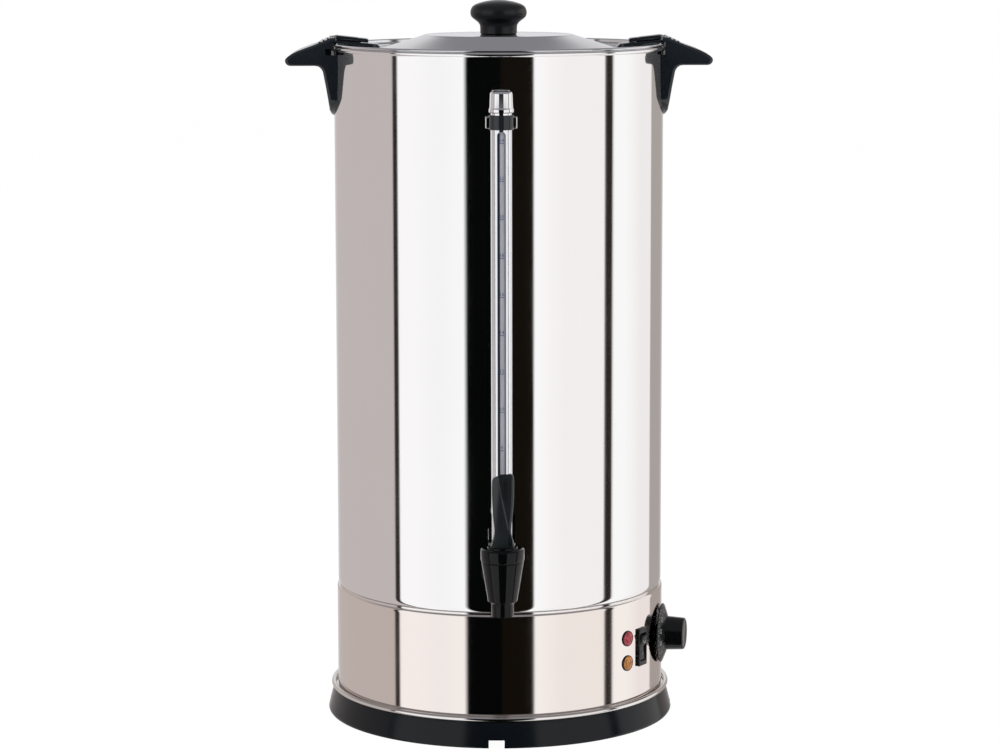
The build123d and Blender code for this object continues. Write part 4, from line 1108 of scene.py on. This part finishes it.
cap_profile = [
    (5.5, gauge_top),
    (8.6, gauge_top),
    (8.6, gauge_top + 1.6),
    (9.6, gauge_top + 1.8),
    (10.2, gauge_top + 2.4),
    (10.3, gauge_top + 3.2),
    (10.25, gauge_top + 4.6),
    (9.9, gauge_top + 5.4),
    (9.65, gauge_top + 5.9),
    (9.2, gauge_top + 17.4),
    (8.9, gauge_top + 18.2),
    (8.3, gauge_top + 18.9),
    (6.7, gauge_top + 19.5),
    (hub, gauge_top + 19.4),
    (hub, gauge_top + 4.0),
    (5.5, gauge_top + 4.0),
]
cap = made("gauge_cap_turning", turned(cap_profile, steps=96, centre=gauge_axis), crease=28)
fitted(cap, chrome_plate, "urn", "chrome_fittings", "gauge_cap")


# ---------------------------------------------------------------- lamps
# Two pilot lamps clipped into the base shell, a red one over an amber one. Each has a domed, moulded lens
# with a faceted inside, in a thin black bezel.
def lamp_lens(name, deep, painted_glow):
    """Translucent lens: a honeycomb of facets, each with a painted glow at its middle for the lamp behind,
    glossy outside.
    """
    material, tree, shader = principled(name, Roughness=0.12, IOR=1.5)
    place = add_node(tree, "ShaderNodeTexCoord").outputs["Object"]
    facet_width = 2.6 * mm
    facets = add_node(
        tree, "ShaderNodeTexVoronoi", {"feature": "F1"}, {"Vector": place, "Scale": 1 / facet_width}
    )
    depth = facets.outputs["Distance"]
    # each facet's colour runs from a painted glow at its middle to the deep colour at its edges
    wired(
        tree,
        shader,
        Base_Color=mixed(tree, depth, linear(painted_glow), linear(deep)),
        Normal=bumped(tree, depth, 0.5, 0.4),
    )
    return material


lamp_azimuth, lamp_reach = 49.2, shell_radius + 0.1
lens_profile = [(hub, 2.1), (2.5, 2.02), (4.2, 1.8), (5.4, 1.35), (6.1, 0.8), (6.3, 0.1), (hub, 0.1)]
bezel_profile = [(6.1, 0.0), (6.85, 0.0), (6.85, 0.5), (6.6, 0.95), (6.25, 1.0), (6.1, 0.7)]
lamp_nylon = moulded_plastic("lamp_nylon_body", "#17110F", 0.3, 0.5, 0.3)
lamp_steps = 48
for colour, height, material in (
    ("red", 81.2, lamp_lens("red_lens", "#5E0F1B", "#C23B48")),
    ("amber", 59.6, lamp_lens("amber_lens", "#6E3A12", "#D08A3E")),
):
    lens_shape = along_wall(lens_profile, lamp_azimuth, lamp_reach, height, steps=lamp_steps)
    lens = made(colour + "_lamp_lens", lens_shape)
    fitted(lens, material, "urn", colour + "_lens", "lamp_lens_" + colour)
    bezel_shape = along_wall(bezel_profile, lamp_azimuth, lamp_reach, height, steps=lamp_steps)
    bezel = made(colour + "_lamp_bezel", bezel_shape)
    fitted(bezel, lamp_nylon, "urn", "lamp_nylon")


# ---------------------------------------------------------------- rocker switch
# A slim black nylon rocker switch snapped into the base shell, with a raised bezel and a shallow V-shaped
# rocker that is marked with the usual line and ring.
switch_nylon = moulded_plastic("grained_nylon", "#0B0B0C", 0.3, 0.5, 0.25, shine=0.4)
switch_face = shell_radius + 2.2
bezel_place = on_wall(switch_azimuth, switch_face - 1.1, switch_z)
bezel_blank = block((13.8, 32.8, 2.2), bezel_place, edge=0.7, segments=3)
body_blank = block((12.4, 27.6, 20.6), on_wall(switch_azimuth, switch_face - 11.7, switch_z), edge=0.4)
rocker_way = block((10.2, 24.6, 24.0), on_wall(switch_azimuth, switch_face, switch_z))
housing = made("switch_housing_moulding", carved(carved(bezel_blank, body_blank, how="UNION"), rocker_way))
fitted(housing, switch_nylon, "urn", "switch_nylon", "switch_housing")
# the outline's first number runs outwards and its second up the wall
rocker_outline = [
    (-4.0, 9.0),
    (-4.0, -9.0),
    (2.0, -11.4),
    (4.6, -10.9),
    (2.4, 0.0),
    (4.6, 10.9),
    (2.0, 11.4),
]
rocker_stand = Matrix(((0, 1, 0), (0, 0, 1), (1, 0, 0)))
rocker_lean = Matrix.Rotation(radians(9.0), 4, "X")
rocker_place = on_wall(switch_azimuth, switch_face - 3.4, switch_z) @ rocker_lean
rocker_shape = rounded(prism(rocker_outline, 4.75), 0.35, segments=2)
bmesh.ops.rotate(rocker_shape, cent=(0, 0, 0), matrix=rocker_stand, verts=rocker_shape.verts[:])
bmesh.ops.transform(rocker_shape, matrix=rocker_place, verts=rocker_shape.verts[:])
rocker = made("switch_rocker_moulding", rocker_shape)
fitted(rocker, switch_nylon, "rocker", "switch_nylon", "switch_rocker")
grey_ink = ink_and_painted_line("grey_marking_ink", "#8C9498")
marks = bmesh.new()
# each half of the rocker's face rises by this much per millimetre away from its middle
half_slope = 2.2 / 10.9
for up, kind in ((6.4, "ring"), (-6.4, "line")):
    tilt = Matrix.Rotation(-half_slope if up > 0 else half_slope, 4, "X")
    spot = rocker_place @ at(0, up, 2.4 + abs(up) * half_slope + 0.06) @ tilt
    if kind == "line":
        add_box(marks, (0.7, 4.4, 0.05), spot)
    else:
        loop = turned([(1.6, 0), (2.3, 0), (2.3, 0.05), (1.6, 0.05)], steps=32)
        bmesh.ops.transform(loop, matrix=spot, verts=loop.verts[:])
        loop_mesh = bpy.data.meshes.new("loop")
        loop.to_mesh(loop_mesh)
        loop.free()
        marks.from_mesh(loop_mesh)
rocker_marks = made("switch_marks", marks)
fitted(rocker_marks, grey_ink, "rocker", "switch_nylon")


# ---------------------------------------------------------------- thermostat dial
# A black moulded dial in one piece: a thin conical skirt, printed with the temperatures, and a tall round
# grip that tapers a little towards its rounded end.
dial_place = on_wall(77.2, shell_radius, 72.3)
skirt_rim, skirt_top = (25.3, 2.8), (15.9, 6.4)
dial_profile = [
    (hub, 1.5),
    (7.0, 1.5),
    (7.0, 2.9),
    (22.0, 2.9),
    (22.0, 1.5),
    (25.4, 1.5),
    (25.8, 1.8),
    (25.8, 2.4),
    skirt_rim,
    skirt_top,
    (14.9, 6.9),
    (14.7, 7.6),
    (13.9, 20.8),
    (13.6, 22.0),
    (12.6, 22.6),
    (11.6, 22.2),
    (hub, 22.2),
]
dial_shape = turned(dial_profile, steps=192)
bmesh.ops.transform(dial_shape, matrix=dial_place, verts=dial_shape.verts[:])
dial_plastic = moulded_plastic("gloss_black_dial", "#08090A", 0.16, 1.0, 0.12, shine=0.42)
dial = made("thermostat_dial", dial_shape, crease=26)
fitted(dial, dial_plastic, "dial", "dial_black", "dial")
dial_print = bmesh.new()
skirt_slope = (skirt_top[1] - skirt_rim[1]) / (skirt_rim[0] - skirt_top[0])
figure_reach = 20.6
figure_rise = skirt_rim[1] + (skirt_rim[0] - figure_reach) * skirt_slope + 0.09
# ticks ten degrees apart run clockwise over three quarters of a turn, with a figure at every third
for place in range(28):
    turn = radians(225 - 10 * place)
    spoke = (
        dial_place
        @ Matrix.Rotation(turn - pi / 2, 4, "Z")
        @ at(0, figure_reach, figure_rise)
        @ Matrix.Rotation(-atan2(skirt_slope, 1), 4, "X")
    )
    add_box(dial_print, (0.5, 1.4, 0.05), spoke @ at(0, 3.9, 0))
    if place % 3 == 0:
        figure = str(30 + 10 * (place // 3)) if place else "0"
        dial_print.from_mesh(lettering(figure, 3.4, spoke))
dial_marks = made("dial_figures", dial_print)
fitted(dial_marks, grey_ink, "dial", "dial_black")


# ---------------------------------------------------------------- mains inlet
# A black nylon inlet screwed to the back of the base shell. Its flange fits the curve of the shell, and
# three pins stand in its recess.
inlet_face = shell_radius + 4.0
flange_blank = block((50.0, 30.0, 9.0), on_wall(180, inlet_face - 4.5, inlet_z), edge=1.0, segments=3)
inlet_body = block((33.0, 24.0, 26.0), on_wall(180, inlet_face - 17.0, inlet_z), edge=1.0)
inlet_recess = block((28.0, 19.0, 38.0), on_wall(180, inlet_face, inlet_z), edge=2.0, segments=3)
shell_way = drum(shell_radius, 30, 90)
inlet_flange = carved(flange_blank, shell_way)
inlet = made("mains_inlet_moulding", carved(carved(inlet_flange, inlet_body, how="UNION"), inlet_recess))
fitted(inlet, switch_nylon, "urn", "switch_nylon", "mains_inlet")


# ---------------------------------------------------------------- carried-over fastenings and inner parts
# The screws, nuts, seals, heater, thermostat and wiring block are already whole in the frame. They keep
# their shapes and only get finishes of their own.
finishes = {
    "lamp_nylon": lamp_nylon,
    "terminal_white": moulded_plastic("terminal_nylon", "#DEDBD2", 0.4, 0.5, 0.3),
    "thermostat_ceramic": moulded_plastic("steatite_case", "#D7D1C4", 0.55, 0.4, 0.5),
    "silicone": moulded_plastic("silicone_rubber", "#CFCDC8", 0.5, 0.9, 0.2),
    "button_red": moulded_plastic("red_button", "#A81212", 0.3, 0.8, 0.2),
    "plated_steel": mirror_steel("zinc_plated_steel", "#C9C8C6", haze=0.25),
    "zinc_plate": mirror_steel("zinc_plated_sheet", "#B6B7B8", haze=0.35),
    "heater_aluminium": mirror_steel("cast_aluminium", "#B9B9B7", haze=0.45),
    "element_steel": mirror_steel("heat_darkened_sheath", "#6E6763", haze=0.4),
    "sensor_copper": mirror_steel("copper_tube", "#C98A66", haze=0.25),
    "brass_pins": mirror_steel("nickelled_brass", "#D6CDB4", haze=0.2),
}
slots = {part["node"]: part["material_slot"] for part in frame["record"]["subparts"]}
for node_name, node in frame["nodes"].items():
    if node.hide_render:
        continue
    finish = finishes.get(slots.get(node_name))
    if finish is None:
        print("NO FINISH", node_name, slots.get(node_name))
        continue
    node.data.materials.clear()
    node.data.materials.append(finish)
